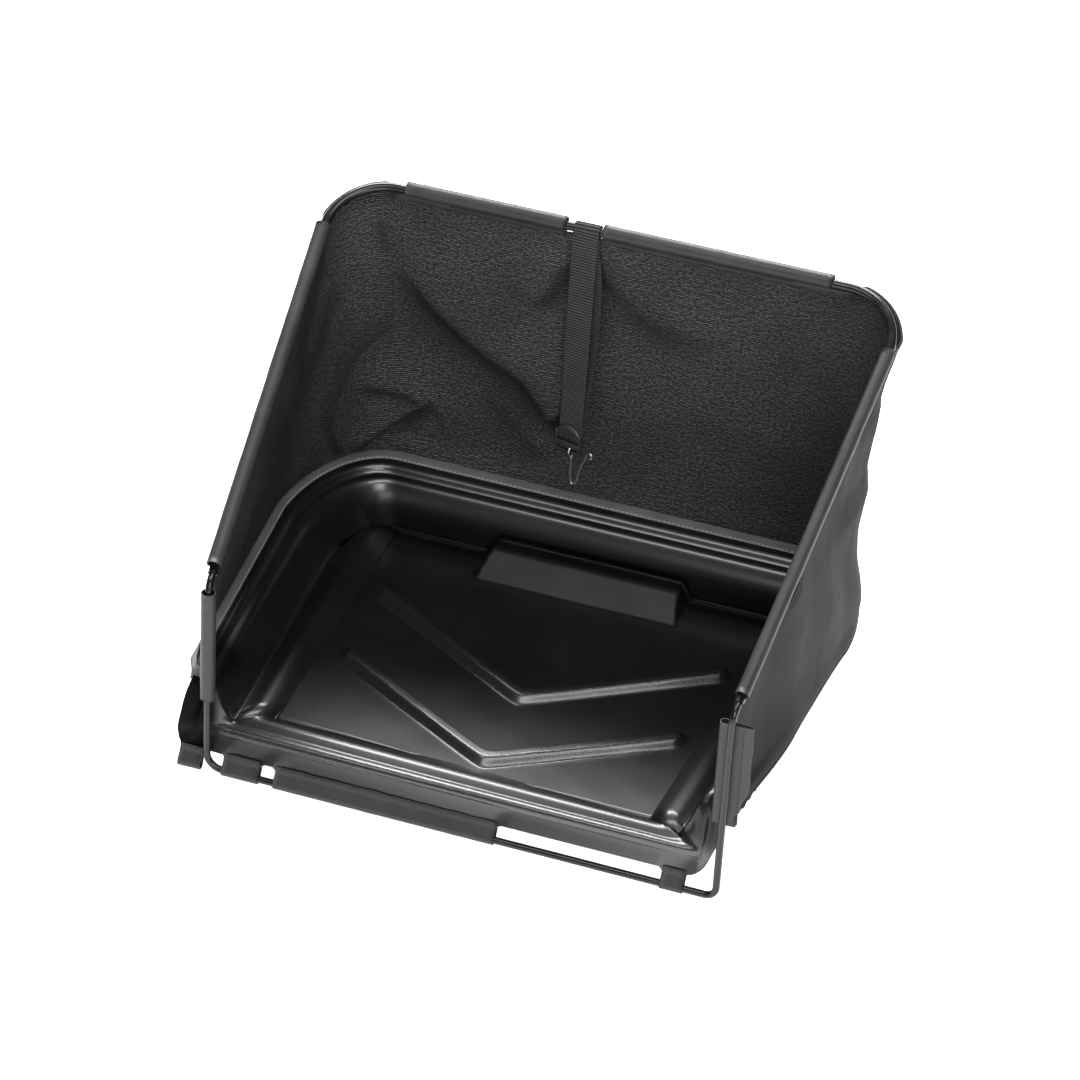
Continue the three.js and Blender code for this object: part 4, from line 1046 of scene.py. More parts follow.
# ---------------------------------------------------------------- the cloth
# Columns run from the bow down to the rim; a is 0 at the left front, 5 at the
# right front, with the two rear corners between 1..2 and 3..4.
outer = key_loops[0]
of_, or_, ob_, ol_ = ring_sides(0)
low_edge = np.vstack([ol_[NC - 1 :], ob_[1:NX], or_[::-1][: NY + 1 - (NC - 2)]])
low_edge[:, 2] = 72.6
tg = np.gradient(low_edge, axis=0)
out_dir = np.stack([-tg[:, 1], tg[:, 0], 0 * tg[:, 0]], -1)
out_dir = unit(out_dir)
sgn = np.sign(np.sum(out_dir * (low_edge - [TRAY_X, 170, 72.6]), -1, keepdims=True))
out_dir *= np.where(sgn == 0, 1, sgn)
low_edge = low_edge + out_dir * 1.0
low_edge[:, 0] += 4.5 * (1 - sstep(8, 70, arclen(low_edge)))
ls = arclen(low_edge)
up_edge = densify(bent([leg(-1, 13), BOW_L, BOW, leg(1, 13)], [42, 42], 24), 4.0)
us = arclen(up_edge)
leg_end = np.linalg.norm(BOW_L - leg(-1, 13)) - 42
low_marks = [0, 222, 350, ls[-1] - 350, ls[-1] - 222, ls[-1]]
up_marks = [0, leg_end, leg_end + 66, us[-1] - leg_end - 66, us[-1] - leg_end, us[-1]]
A_CELLS = [78, 44, 110, 44, 78]
V_CELLS = 92


def at(path, s, d):
    return np.array([np.interp(d, s, path[:, k]) for k in range(3)])


a_list = []
for m in range(5):
    a_list += [m + k / A_CELLS[m] for k in range(0 if m == 0 else 1, A_CELLS[m] + 1)]
a_list = np.array(a_list)
NA = len(a_list)
vv = np.linspace(0, 1, V_CELLS + 1)
cloth = np.zeros((NA, V_CELLS + 3, 3))
for i, a in enumerate(a_list):
    m = min(4, int(a))
    t = a - m
    L = at(low_edge, ls, lerp(low_marks[m], low_marks[m + 1], t))
    U = at(up_edge, us, lerp(up_marks[m], up_marks[m + 1], t))
    if a > 2.5:
        L[0] += 17.5 * float(sstep(0, 215, 235 - L[1])) - 9.5 * float(sstep(0, 95, 115 - L[1]))
    else:
        L[0] += 1.0 * max(0.0, 1 - (L[1] - 18) / 25)
    d = unit(L - U)
    A = U + d * 5.2
    if m in (1, 3):
        # behind and outside the pipe where the sleeves are cut away
        s_ = -1 if m == 1 else 1
        corner = float(sstep(0.0, 0.16, t) * (1 - sstep(0.84, 1.0, t)))
        c_ = BOW * [s_, 1, 1] - 42 * np.array([s_, 0, 0]) - 42 * RAKE * [s_, 1, 1]
        out = unit(U - c_)
        A = A * (1 - corner) + (U + out * 6.6 + np.array([0, 0.505, -0.863]) * 4.6) * corner
    line = A[None] + (L - A)[None] * vv[:, None]
    mid = np.sin(np.pi * vv)
    if m == 2:
        line[:, 1] += 2.0 * mid
    if m in (0, 4):
        line[:, 0] += (1 if a < 2.5 else -1) * 3.0 * mid * min(1.0, L[1] / 60)
    if m in (1, 3):
        line[:, 1] -= 7 * mid * math.sin(math.pi * t) + 2 * mid * (t if m == 1 else 1 - t)
        line[:, 0] += (1 if a < 2.5 else -1) * (5 * mid * math.sin(math.pi * t) + 3 * mid * (1 - t if m == 1 else t))
    cloth[i, : V_CELLS + 1] = line
    front_drop = 3.5 * max(0.0, 1 - min(a, 5 - a) / 0.12)
    cloth[i, V_CELLS + 1] = L - [0, 0, 4.0 + front_drop * 0.5]
    cloth[i, V_CELLS + 2] = L - [0, 0, 8.0 + front_drop + (1.2 * math.sin(i * 1.9) if front_drop > 0 else 0)]
NV = V_CELLS + 3

soft_v = np.concatenate([sstep(0.0, 0.1, vv) * (1 - sstep(0.95, 1.0, vv)), [0, 0]])
for _ in range(60):
    avg = cloth.copy()
    avg[1:-1] = (cloth[:-2] + 2 * cloth[1:-1] + cloth[2:]) / 4
    near = np.zeros(NA)
    for q_ in (1.0, 2.0, 3.0, 4.0):
        near = np.maximum(near, np.exp(-(((a_list - q_) / 0.28) ** 2)))
    cloth = cloth + (avg - cloth) * (near[:, None] * soft_v[None, :])[..., None]

# folds, placed by where they show
tu = np.gradient(cloth, axis=0)
tv = np.gradient(cloth, axis=1)
cn = unit(np.cross(tu, tv))
inside_dir = unit(np.array([0, 150, 150]) - cloth)
cn *= np.where(np.sum(cn * inside_dir, -1, keepdims=True) < 0, -1, 1)  # towards the inside
pp_ = px(cloth.reshape(-1, 3)).reshape(NA, NV, 2)
hold = sstep(0, 0.09, vv) * (1 - sstep(0.93, 1.0, vv))
hold = np.concatenate([hold, [0, 0]])


def seg_dist(q, a, b):
    a, b = np.asarray(a, float), np.asarray(b, float)
    d = b - a
    t = np.clip(((q - a) @ d) / (d @ d), 0, 1)
    c = a + t[..., None] * d
    off = q - c
    sd = (d[0] * off[..., 1] - d[1] * off[..., 0]) / np.linalg.norm(d)
    return np.linalg.norm(off, axis=-1), sd, t


def crease(q, pts, depth, width, ridge=0.5, side=1.0, taper=(0.15, 0.2), shade=0.5, reach=3.0):
    """A valley along a line in image pixels, with a soft ridge on one side, and a painted shade for the valley side."""
    pts = smooth_path(np.array(pts, float), 30) if len(pts) > 2 else resample(np.array(pts, float), 12)
    best = np.full(q.shape[:-1], 1e9)
    sd = np.zeros_like(best)
    tt = np.zeros_like(best)
    n = len(pts) - 1
    for i in range(n):
        dd, ss, t = seg_dist(q, pts[i], pts[i + 1])
        take = dd < best
        best = np.where(take, dd, best)
        sd = np.where(take, np.where(np.abs(ss) > 1e-9, np.sign(ss), 1) * dd, sd)
        tt = np.where(take, (i + t) / n, tt)
    amp = sstep(0, taper[0], tt) * (1 - sstep(1 - taper[1], 1, tt))
    w = sd * side / width
    fold = np.where(w > 0, np.exp(-((w / 3.2) ** 2)), np.exp(-((w / 0.9) ** 2)) - ridge * np.maximum(-w / 2.2, 0) * np.exp(1 + np.minimum(w, 0) / 2.2))
    dark = amp * np.where(w > 0, np.exp(-((w / 0.5) ** 2)), np.exp(-((w / reach) ** 2)))
    return depth * amp * fold, dark * shade


inner_side = (a_list[:, None] < 3.6) & np.ones((1, NV), bool)
left_part = a_list[:, None] < 2.6
back_part = (a_list[:, None] > 0.5) & (a_list[:, None] < 3.95)
disp = np.zeros((NA, NV))
# painted shade: the cloth's light flecks are darkened on the valley side of the folds, where shade falls
cloth_painted_shade = np.zeros((NA, NV))
F_BACK = [
    # points, height, width, valley, side, taper, shade, reach
    ([(392, 252), (412, 276), (444, 310), (482, 344), (524, 375), (545, 398), (560, 422)], 8.0, 15.0, 0.8, -1.0, (0.3, 0.06), 0.75, 2.2),
    ([(392, 250), (412, 274), (444, 309), (482, 343), (524, 374), (545, 397), (560, 421)], 1.4, 3.4, 0.5, -1.0, (0.3, 0.06), 0.5, 3.0),
    ([(384, 214), (388, 232), (394, 254)], 1.6, 8.0, 0.5, -1.0, (0.3, 0.3), 0.3, 2.0),
    ([(470, 372), (500, 410), (530, 440), (556, 462)], 2.4, 12.0, 0.8, -1.0, (0.4, 0.2), 0.35, 2.0),
    ([(568, 256), (553, 284), (532, 312)], 4.0, 9.0, 0.9, 1.0, (0.2, 0.3), 0.7, 2.2),
    ([(528, 382), (543, 394), (557, 412)], 2.0, 2.6, 0.9, 1.0, (0.3, 0.1), 0.6, 2.0),
    ([(545, 404), (556, 418), (562, 430)], 2.0, 6.0, 0.9, -1.0, (0.2, 0.1), 0.9, 2.4),
    ([(432, 402), (402, 417), (381, 430), (362, 444), (348, 457)], 4.6, 4.0, 0.9, 1.0, (0.1, 0.15), 0.85, 1.6),
    ([(434, 408), (414, 418), (394, 432)], 1.6, 7.0, 0.8, 1.0, (0.25, 0.3), 0.7, 1.8),
    ([(352, 386), (392, 392), (430, 403)], 2.6, 5.0, 0.7, -1.0, (0.3, 0.2), 0.45, 2.2),
    ([(600, 250), (622, 290), (655, 322), (700, 352)], 3.4, 12.0, 0.8, -1.0, (0.15, 0.4), 0.4, 2.0),
    ([(640, 300), (690, 330), (740, 345)], 2.0, 12.0, 0.8, -1.0, (0.3, 0.4), 0.25, 2.0),
    ([(700, 520), (730, 538), (765, 546), (796, 548)], 3.4, 6.0, 0.9, -1.0, (0.3, 0.1), 0.8, 2.0),
    ([(852, 330), (830, 400), (806, 470)], 2.0, 14.0, 0.7, -1.0, (0.3, 0.3), 0.5, 2.0),
]
for pts, depth, width, ridge, sd_, tp, sh, rc in F_BACK:
    dz, dk = crease(pp_, pts, depth, width, ridge, sd_, tp, sh, rc)
    disp += np.where(back_part, dz, 0)
    cloth_painted_shade = np.maximum(cloth_painted_shade, np.where(back_part, dk, 0))
F_LEFT = [
    ([(404, 324), (384, 334), (366, 348), (352, 364), (342, 384), (334, 402), (330, 420), (333, 438), (343, 454)], 3.6, 3.8, 0.3, -1.0, (0.1, 0.03), 1.0, 2.6),
    ([(332, 278), (325, 298), (318, 318), (311, 342), (300, 372)], 4.2, 3.6, 0.4, -1.0, (0.15, 0.35), 0.9, 1.6),
    ([(349, 310), (339, 322), (330, 335)], 2.4, 3.0, 0.4, -1.0, (0.3, 0.3), 0.7, 1.8),
    ([(304, 350), (288, 384), (268, 420), (248, 460)], 2.2, 5.0, 0.8, -1.0, (0.3, 0.4), 0.7, 2.0),
    ([(312, 400), (290, 440), (266, 480), (246, 515)], 2.6, 6.0, 0.8, -1.0, (0.3, 0.4), 0.6, 2.4),
    ([(330, 430), (306, 462), (282, 492)], 2.6, 6.0, 0.8, -1.0, (0.3, 0.4), 0.8, 2.4),
]
for pts, depth, width, ridge, sd_, tp, sh, rc in F_LEFT:
    dz, dk = crease(pp_, pts, depth, width, ridge, sd_, tp, sh, rc)
    disp += np.where(left_part, dz, 0)
    cloth_painted_shade = np.maximum(cloth_painted_shade, np.where(left_part, dk, 0))
# the side panels are darkened to match the picture's shading; the real cloth is even
cloth_painted_shade = np.maximum(cloth_painted_shade, 0.75 * (1 - sstep(0.9, 1.7, a_list))[:, None])
cloth_painted_shade = np.maximum(cloth_painted_shade, 0.5 * sstep(2.75, 3.1, a_list)[:, None])
big = waves(77, 10, 60, 190, 3)
small = waves(78, 12, 16, 45, 3)
disp += big(cloth) * 1.5 + small(cloth) * 0.18
# the right rear corner has slumped inwards
slump = np.exp(-(((a_list - 3.55) / 0.55) ** 2))[:, None] * np.concatenate([np.sin(np.pi * np.clip(vv * 1.05, 0, 1)) ** 0.8, [0, 0]])[None, :]
slump_z = np.interp(cloth[..., 2], [60, 79, 118, 150, 161, 185, 206, 231, 253, 286, 325], [0, 5, 26, 36, 34, 20, 32, 26, 8, 2, 0])
disp += slump * slump_z * 0.4
# and stands out again lower down
disp -= slump * np.interp(cloth[..., 2], [60, 72, 90, 118, 150, 200, 235, 262, 290], [7, 7, 4, 5.5, 7, 8.5, 4, -3, 0])
cloth = cloth + cn * (disp * hold[None, :])[..., None]
right_part = (sstep(3.2, 3.6, a_list)[:, None] * np.ones((1, NV)))
for cx_, cy_, amt_, sg_ in ((812, 600, 6.5, 26), (768, 728, -4.5, 30)):
    r2_ = (pp_[..., 0] - cx_) ** 2 + (pp_[..., 1] - cy_) ** 2
    cloth[..., 0] += amt_ * np.exp(-r2_ / (2 * sg_**2)) * right_part

su = np.concatenate([[0], np.cumsum(np.linalg.norm(np.diff(cloth[:, NV // 2], axis=0), axis=1))])
sv = np.concatenate([np.zeros((NA, 1)), np.cumsum(np.linalg.norm(np.diff(cloth, axis=1), axis=2), axis=1)], 1)
uvc = np.stack([np.broadcast_to(su[:, None], sv.shape), sv.mean(0)[None, :] + 0 * sv], -1)
half_t = 0.32
tu = np.gradient(cloth, axis=0)
tv = np.gradient(cloth, axis=1)
cn = unit(np.cross(tu, tv))
cn *= np.where(np.sum(cn * inside_dir, -1, keepdims=True) < 0, -1, 1)
inn, outt = cloth + cn * half_t, cloth - cn * half_t
fin = grid_faces(NA, NV)
probe = inn[NA // 2, NV // 2] - inn[NA // 2 + 1, NV // 2]
fnorm = np.cross(inn[NA // 2 + 1, NV // 2 + 1] - inn[NA // 2, NV // 2], inn[NA // 2, NV // 2 + 1] - inn[NA // 2 + 1, NV // 2])
if fnorm @ cn[NA // 2, NV // 2] < 0:
    fin = fin[:, ::-1]
fout = fin[:, ::-1] + NA * NV
idc = np.arange(NA * NV).reshape(NA, NV)
edge = []
for line in (idc[:, 0], idc[:, -1][::-1], idc[0, :][::-1], idc[-1, :]):
    for q0, q1 in zip(line[:-1], line[1:]):
        edge.append([q1, q0, q0 + NA * NV, q1 + NA * NV])
faces = fin.tolist() + fout.tolist() + edge
index = [0] * len(fin) + [1] * len(fout) + [1] * len(edge)
bag = build(
    "bag_cloth",
    np.vstack([inn.reshape(-1, 3), outt.reshape(-1, 3)]),
    faces,
    [M_CLOTH, M_CLOTH_OUT],
    slot="bag_cloth",
    uv=np.vstack([uvc.reshape(-1, 2)] * 2),
    index=index,
)
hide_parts("bag_fabric")
# the painted shade goes onto the cloth as a point attribute
batt = bag.data.attributes.new("cloth_painted_shade", "FLOAT", "POINT")
batt.data.foreach_set("value", np.concatenate([cloth_painted_shade.ravel(), cloth_painted_shade.ravel()]).astype(np.float32))

# binding tape round the cloth's edge at the two upper corners
for s, nm, a0, a1 in ((-1, "left", 0.93, 2.12), (1, "right", 2.88, 4.07)):
    sel = np.where((a_list >= a0) & (a_list <= a1))[0]
    top = cloth[sel, 0]
    dn = unit(cloth[sel, 3] - cloth[sel, 0])
    nn = cn[sel, 1]
    prof = [(4.2, 0.8), (2.4, 0.95), (0.1, 1.05), (-0.9, 0.7), (-1.3, 0.0), (-0.9, -0.7), (0.1, -1.05), (2.4, -0.95), (4.2, -0.8)]
    tape = np.stack([top + dn * u_ + nn * w_ for u_, w_ in prof], 1)
    ss = arclen(top)
    uvt = np.stack(np.broadcast_arrays(ss[:, None], np.array([0, 3, 6, 7, 8, 9, 10, 13, 16.0])[None]), -1)
    fc = grid_faces(len(sel), len(prof))
    fnm = np.cross(tape[5, 4] - tape[4, 3], tape[4, 4] - tape[5, 3])
    if fnm @ (tape[4, 4] - (top[4] + dn[4] * 3)) < 0:
        fc = fc[:, ::-1]
    o = build("corner_tape_" + nm, tape.reshape(-1, 3), fc, M_VINYL, slot="vinyl", uv=uvt.reshape(-1, 2))
    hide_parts("corner_binding_" + nm)

# hem tape under the rim
sel = np.where((a_list > 0.42) & (a_list < 4.85))[0]
foot = cloth[sel, V_CELLS + 1]
fo = at_dirs = unit((foot - [TRAY_X, 170, 0]) * [1, 1, 0])
rimz = 71.2 - 1.7 - 0.8
rows = [(-0.75, -8.2), (-0.8, -5.5), (-0.9, -4.4), (-2.2, -3.9), (-5.0, -3.6), (-8.5, -3.5)]
tape = np.stack([np.stack([foot[:, 0] + fo[:, 0] * a_, foot[:, 1] + fo[:, 1] * a_, np.full(len(sel), 72.6 + b_)], -1) for a_, b_ in rows], 1)
ss = arclen(foot)
uvt = np.stack(np.broadcast_arrays(ss[:, None], np.array([0, 3, 4, 6, 9, 12.5])[None]), -1)
up_t, dn_t = tape, tape - np.array([0, 0, 0.5])
fc = grid_faces(len(sel), len(rows))
pile = Pile()
pile.add(up_t, fc, uvt)
pile.add(dn_t, fc[:, ::-1], uvt)
hem = pile.make("hem_tape", M_TAPE, slot="hem_tape")
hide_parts("rim_hem_tape")


# ------------------------------------------------------------------ stitches
def stitches(name, path, normal, length, gap, r, mat, slot, lift=0.1, body="bag", ground=False):
    path = np.asarray(path, float)
    s = arclen(path)
    n = int(s[-1] / (length + gap))
    pile = Pile()
    seg = 6
    ang = np.linspace(0, 2 * math.pi, seg, endpoint=False)
    rnd = np.random.default_rng(len(path))
    nrm_ = np.broadcast_to(np.asarray(normal, float), path.shape)
    for k in range(n):
        d0 = k * (length + gap) + rnd.uniform(-0.1, 0.1)
        ds = np.linspace(d0, d0 + length, 5)
        pts = np.stack([np.interp(ds, s, path[:, j]) for j in range(3)], -1)
        nn = unit(np.stack([np.interp(ds, s, nrm_[:, j]) for j in range(3)], -1))
        h = np.array([-0.9, 0.35, 0.6, 0.35, -0.9]) * r + lift
        pts = pts + nn * h[:, None]
        t = unit(pts[-1] - pts[0])
        w = unit(np.cross(t, nn))
        v = pts[:, None] + r * (np.cos(ang)[None, :, None] * nn[:, None] * 0.8 + np.sin(ang)[None, :, None] * w[:, None])
        pile.add(v, grid_faces(5, seg, close_v=True))
    return pile.make(name, mat, slot=slot, body=body, ground=ground)


hem_rows = [(-0.09, -0.6), (-0.07, 0.75), (0.0, 1.15), (0.25, 1.35), (0.5, 1.15), (0.57, 0.95), (0.6, 0.4), (0.6, -0.1)]
hem_i = np.arange(NX + 10, P - 6)
top_hem = np.stack([between(0, 1, t_)[hem_i] + np.array([0, 0, 1.0]) * (dz_ + 1.15) for t_, dz_ in hem_rows], 1)
sh_ = arclen(top_hem[:, 2])
uvh = np.stack(np.broadcast_arrays(sh_[:, None], np.array([0, 1, 2, 5, 8, 9, 10, 11.0])[None]), -1)
fh = grid_faces(len(hem_i), len(hem_rows))
fnh = np.cross(top_hem[6, 3] - top_hem[5, 2], top_hem[5, 3] - top_hem[6, 2])
if fnh[2] < 0:
    fh = fh[:, ::-1]
# the hem strip takes the lighter vinyl, a painted highlight
sewn = build("flange_hem", top_hem.reshape(-1, 3), fh, M_HEM_PAINTED_HIGHLIGHT, slot="vinyl", uv=uvh.reshape(-1, 2))
rim = between(0, 1, 0.52) + np.array([0, 0, 2.3])
rim_i = np.arange(NX + 8, P - 4)
rim_line = rim[rim_i]
rim_n = unit(nrm[: NR * P].reshape(NR, P, 3)[9][rim_i])
stitches("rim_stitches", rim_line, rim_n, 2.2, 1.5, 0.4, M_THREAD, "vinyl", 0.05)

bar_stitch = np.stack([np.linspace(-136, 26, 60), np.full(60, 1.85), np.full(60, 12.1)], -1)
stitches("tab_stitches", bar_stitch, (0, -1, 0.15), 1.7, 1.5, 0.5, M_THREAD_DARK, "vinyl", 0.05)
for k_, (x_, y_) in enumerate([(198.6, 4.55)]):
    flap_stitch = np.stack([np.full(40, x_), np.full(40, y_), np.linspace(64, 141, 40)], -1)
    stitches("flap_stitches", flap_stitch, (0.05, -1, 0), 2.3, 1.2, 0.45, M_THREAD_DARK, "vinyl", 0.05)

# ---------------------------------------------------------- strap and hook
hang = G([-24.5, 294.0, 325.0])
TW = math.radians(-13.5)
bk = np.array([hang[0] - 6.0, hang[1] - 7.5, hang[2] - 182.0])
uB = np.array([math.cos(TW), math.sin(TW), 0])
nB = np.array([math.sin(TW), -math.cos(TW), 0])
top_bar = bk + [0, 0, 11.0]
r_w = 3.5 + 0.35 + 0.65
pts, tws = [], []
start = top_bar - nB * 1.0 + [-1.2, 0, -8.6]
front_top = hang + [0, -r_w, -4]
for k in range(24):
    t = k / 23
    pts.append(start + (front_top - start) * t + np.array([0.35 * math.sin(5 * t), -1.3 * math.sin(math.pi * t), 0]))
    tws.append(TW * (1 - float(sstep(0, 1, t))))
for k in range(1, 20):
    a = math.radians(lerp(180, -72, k / 19))
    pts.append(hang + np.array([0, r_w * math.cos(a), r_w * math.sin(a)]))
    tws.append(0.0)
for q in ((0, -1.4, -7.6), (0.2, -2.4, -12)):
    pts.append(hang + np.array(q))
    tws.append(0.0)
rear_top = hang + [0.4, -2.6, -18]
end = top_bar - nB * 2.9 + [-1.2, 0, -8.0]
for k in range(26):
    t = k / 25
    pts.append(rear_top + (end - rear_top) * t + np.array([5.4 * math.sin(math.pi * t**0.8), 2.2 * math.sin(math.pi * t**0.9), 0]))
    tws.append(TW * float(sstep(0, 1, t)) - 0.25 * math.sin(math.pi * t))
pts, tws = np.array(pts), np.array(tws)
sp = arclen(pts)
q = np.linspace(0, sp[-1], 1100)
pts = np.stack([np.interp(q, sp, pts[:, j]) for j in range(3)], -1)
tws = np.interp(q, sp, tws)
tg = unit(np.gradient(pts, axis=0))
wd = np.stack([np.cos(tws), np.sin(tws), 0 * tws], -1)
wd = unit(wd - tg * np.sum(wd * tg, -1, keepdims=True))
nn = np.cross(tg, wd)
SW, ST = 19.4, 1.25
cols_ = np.array([-1, -0.97, -0.9, -0.75, -0.5, -0.25, 0, 0.25, 0.5, 0.75, 0.9, 0.97, 1]) * SW / 2
rib = 0.13 * np.sin(2 * math.pi * q / 2.4)
up_ = pts[:, None] + cols_[None, :, None] * wd[:, None] + ((ST / 2 * np.minimum(1, 0.55 + 6 * (1 - np.abs(cols_) / (SW / 2))))[None, :, None] + rib[:, None, None]) * nn[:, None]
dn_ = pts[:, None] + cols_[None, :, None] * wd[:, None] - ((ST / 2 * np.minimum(1, 0.55 + 6 * (1 - np.abs(cols_) / (SW / 2))))[None, :, None] + rib[:, None, None]) * nn[:, None]
uvw = np.stack(np.broadcast_arrays(q[:, None], cols_[None]), -1)
ringw = np.concatenate([up_, dn_[:, ::-1]], 1)
uvr = np.concatenate([uvw, uvw[:, ::-1]], 1)
K = ringw.shape[1]
fw = grid_faces(len(q), K, close_v=True).tolist()
h_ = K // 2
for e_ in (0, len(q) - 1):
    for j in range(h_ - 1):
        quad = [e_ * K + j, e_ * K + j + 1, e_ * K + K - 2 - j, e_ * K + K - 1 - j]
        fw.append(quad if e_ else quad[::-1])
strap = build("strap_web", ringw.reshape(-1, 3), fw, M_WEB, slot="webbing", uv=uvr.reshape(-1, 2), ground=True)
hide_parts("strap_webbing")

# a row of stitches across both layers, two thirds of the way down
z_seam = hang[2] - 118
i_s = int(np.argmin(np.abs(pts[:100, 2] - z_seam)))
c0 = pts[i_s]
outn = np.array([0, -1.0, 0])
sgn_ = 1 if nn[i_s] @ outn > 0 else -1
seam = np.array([c0 + wd[i_s] * x + nn[i_s] * sgn_ * (ST / 2) + np.array([0, 0, 0.06 * x]) for x in np.linspace(-8.6, 8.6, 12)])
stitches("strap_seam", seam, nn[i_s] * sgn_, 2.6, 0.5, 0.4, M_THREAD_DARK, "webbing", 0.1, ground=True)


def rounded_box(pile, centre, half, axes, r, n=3, taper=None):
    """A box with rounded edges, as a superellipsoid-like shell."""
    hx, hy, hz = half
    ax = [np.asarray(a, float) for a in axes]
    # sphere grid pushed to the corners
    lat = np.concatenate([np.linspace(-90, 0, n + 1), np.linspace(0, 90, n + 1)])
    lon = np.concatenate([np.linspace(k * 90, k * 90 + 90, n + 1) for k in range(4)])
    v = []
    for i, la in enumerate(lat):
        cz = -1 if i <= n else 1
        for j, lo in enumerate(lon):
            quad = j // (n + 1)
            sx = 1 if quad in (0, 3) else -1
            sy = 1 if quad in (0, 1) else -1
            la_, lo_ = math.radians(la), math.radians(lo)
            x = sx * (hx - r) + r * math.cos(la_) * math.cos(lo_)
            y = sy * (hy - r) + r * math.cos(la_) * math.sin(lo_)
            z = cz * (hz - r) + r * math.sin(la_)
            v.append(centre + ax[0] * x + ax[1] * y + ax[2] * z)
    pile.add(np.array(v), grid_faces(len(lat), len(lon), close_v=True, flip=True))


# ladder buckle
p = Pile()
AX = (uB, -nB, np.array([0, 0, 1.0]))
BW = 11.2


def bplace(x, y, z):
    return bk + uB * (x - 1.6) - nB * y + np.array([0, 0, z - 2.2])


for sx in (-1, 1):
    rounded_box(p, bplace(sx * (BW - 1.1), -0.6, -1.9), (1.1, 2.3, 9.8), AX, 0.8)
rounded_box(p, bplace(0, -0.6, -10.5), (BW - 0.2, 1.5, 1.35), AX, 0.7)
rounded_box(p, bplace(0, -0.9, -3.4), (BW - 0.6, 1.7, 1.9), AX, 0.9)
for k_ in range(3):
    rounded_box(p, bplace(0, -2.5, -4.7 + 1.3 * k_), (BW - 2.4, 0.5, 0.42), AX, 0.3)
# the rounded plate over the top
n_l, n_p = 30, 7
face = []
for i in range(n_l + 1):
    a = math.pi * i / n_l
    for j in range(n_p + 1):
        f_ = [0, 0.3, 0.6, 0.8, 0.9, 0.96, 0.99, 1.0][j]
        y_ = [-2.9, -2.9, -2.85, -2.75, -2.6, -2.2, -1.6, -0.9][j]
        face.append(bplace(BW * math.cos(a) * f_, y_, 3.0 + 10.4 * max(math.sin(a), 0.0) ** 0.85 * f_))
p.add(np.array(face), grid_faces(n_l + 1, n_p + 1))
back = []
for i in range(n_l + 1):
    a = math.pi * i / n_l
    for j in range(n_p + 1):
        f_ = j / n_p
        back.append(bplace(BW * math.cos(a) * f_, -0.9, 3.0 + 10.4 * max(math.sin(a), 0.0) ** 0.85 * f_))
p.add(np.array(back), grid_faces(n_l + 1, n_p + 1, flip=True))
rounded_box(p, bplace(0, -1.9, 3.3), (BW - 0.1, 1.0, 0.9), AX, 0.5)
buckle = p.make("buckle", M_BUCKLE, slot="buckle_plastic", ground=True)
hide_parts("strap_buckle")

# wire hook, on the lowest bar
bar = bk + [0, 0, -11.35]


def hp(a, b, c):
    return bar + uB * a + nB * b + np.array([0, 0, c])


eye = [hp(0.9, 4.15 * math.cos(math.radians(q_)), 4.15 * math.sin(math.radians(q_))) for q_ in np.linspace(-66, 246, 26)]
shank = smooth_path(
    [
        hp(0.9, 0.6, -6.2),
        hp(0.6, 0, -12),
        hp(0.2, 0, -22),
        hp(0.7, 0, -28.2),
        hp(2.9, 0, -31),
        hp(5.0, 0, -28.4),
        hp(7.2, 0, -19),
        hp(10.2, 0, -9),
        hp(13.4, 0, -1.6),
        hp(14.6, 0, 2.2),
        hp(16.6, 0, 3.9),
        hp(18.6, 0, 2.2),
        hp(18.0, 0, -0.4),
    ],
    90,
)
hook_path = smooth_path(np.vstack([np.array(eye), shank[::4], shank[-1:]]), 170)
p = Pile()
p.add(*tube(hook_path, 0.8, 12, (1, 0, 0)))
hook = p.make("wire_hook", M_ZINC, slot="hook_wire", body="hook", ground=True)
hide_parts("strap_hook")

# -------------------------------------------------------------------- stage
fl = bpy.data.meshes.new("floor")
S = 6.0
fl.from_pydata([(-S, -S, 0), (S, -S, 0), (S, S, 0), (-S, S, 0)], [], [(0, 1, 2, 3)])
floor_o = bpy.data.objects.new("floor", fl)
bpy.context.scene.collection.objects.link(floor_o)
fs = Shader("floor_white", Roughness=0.9)
fs.set("Base Color", (0.9, 0.9, 0.9))
fs.set("Specular IOR Level", 0.1)
fs.set("Emission Color", (1.0, 1.0, 1.0))
fs.set("Emission Strength", 0.95)
fl.materials.append(fs.m)

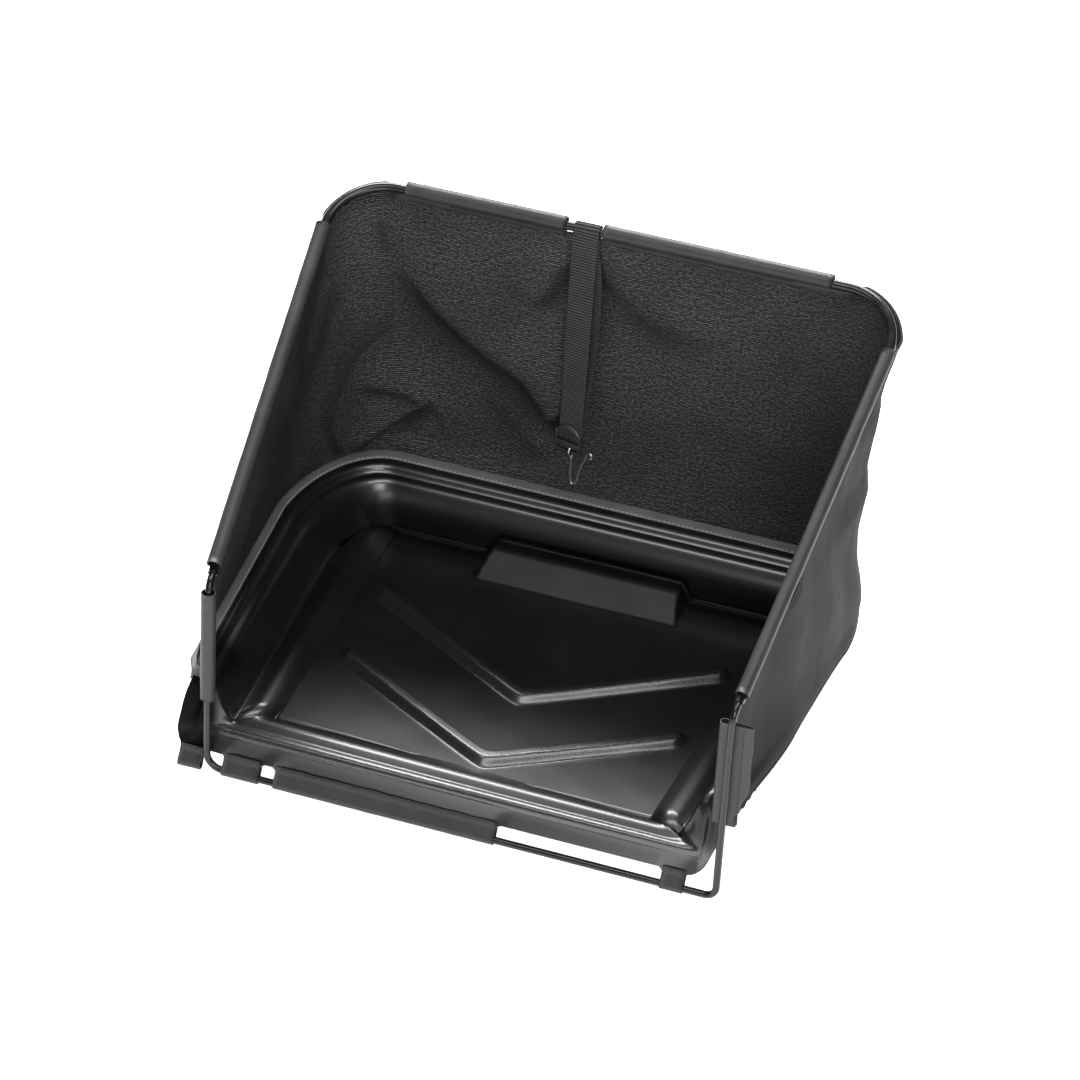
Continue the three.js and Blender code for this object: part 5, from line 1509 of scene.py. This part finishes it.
world = bpy.data.worlds.new("studio")
bpy.context.scene.world = world
world.use_nodes = True
wn, wl = world.node_tree.nodes, world.node_tree.links
bg = wn["Background"]
bg.inputs["Strength"].default_value = 1.0
tc = wn.new("ShaderNodeTexCoord")
sx_ = wn.new("ShaderNodeSeparateXYZ")
wl.new(tc.outputs["Generated"], sx_.inputs[0])
rp = wn.new("ShaderNodeValToRGB")
rp.color_ramp.elements[0].position = 0.0
rp.color_ramp.elements[0].color = (0.1, 0.1, 0.1, 1)
rp.color_ramp.elements[1].position = 1.0
rp.color_ramp.elements[1].color = (0.26, 0.26, 0.26, 1)
wl.new(sx_.outputs["Z"], rp.inputs["Fac"])
wl.new(rp.outputs["Color"], bg.inputs["Color"])


def area_light(name, loc, target, size, power, size_y=None):
    d = bpy.data.lights.new(name, "AREA")
    d.shape = "RECTANGLE"
    d.size = size
    d.size_y = size_y or size
    d.energy = power
    o = bpy.data.objects.new(name, d)
    bpy.context.scene.collection.objects.link(o)
    o.location = loc
    o.rotation_mode = "QUATERNION"
    o.rotation_quaternion = (Vector(target) - Vector(loc)).to_track_quat("-Z", "Y")
    o.visible_camera = False
    return o


area_light("key_overhead", (0.16, -0.42, 1.45), (0, 0, 0.1), 1.5, 15.5, 0.42)
area_light("front_bank", (0.95, -1.55, 1.25), (0, 0, 0.15), 1.0, 20, 0.8)
area_light("front_card", (0.45, -1.9, 0.28), (0, 0, 0.1), 1.6, 8, 0.4)
area_light("rear_bank", (-0.4, 1.25, 1.35), (0, 0, 0.1), 1.6, 84, 0.7)

# ------------------------------------------------------------------- camera
cam_d = bpy.data.cameras.new("camera")
cam_d.lens = FPX / 1080 * 36
cam_d.sensor_width = 36
cam_d.clip_start, cam_d.clip_end = 0.1, 50
cam = bpy.data.objects.new("camera", cam_d)
bpy.context.scene.collection.objects.link(cam)
r3 = np.stack([WD(CR), WD(CU), -WD(CF)], 1)
mw = np.eye(4)
mw[:3, :3] = r3
mw[:3, 3] = W(CAM)
cam.matrix_world = Matrix(mw.tolist())
bpy.context.scene.camera = cam
bpy.context.scene.view_settings.view_transform = "Standard"
bpy.context.scene.view_settings.look = "None"
bpy.context.scene.view_settings.exposure = 0.0
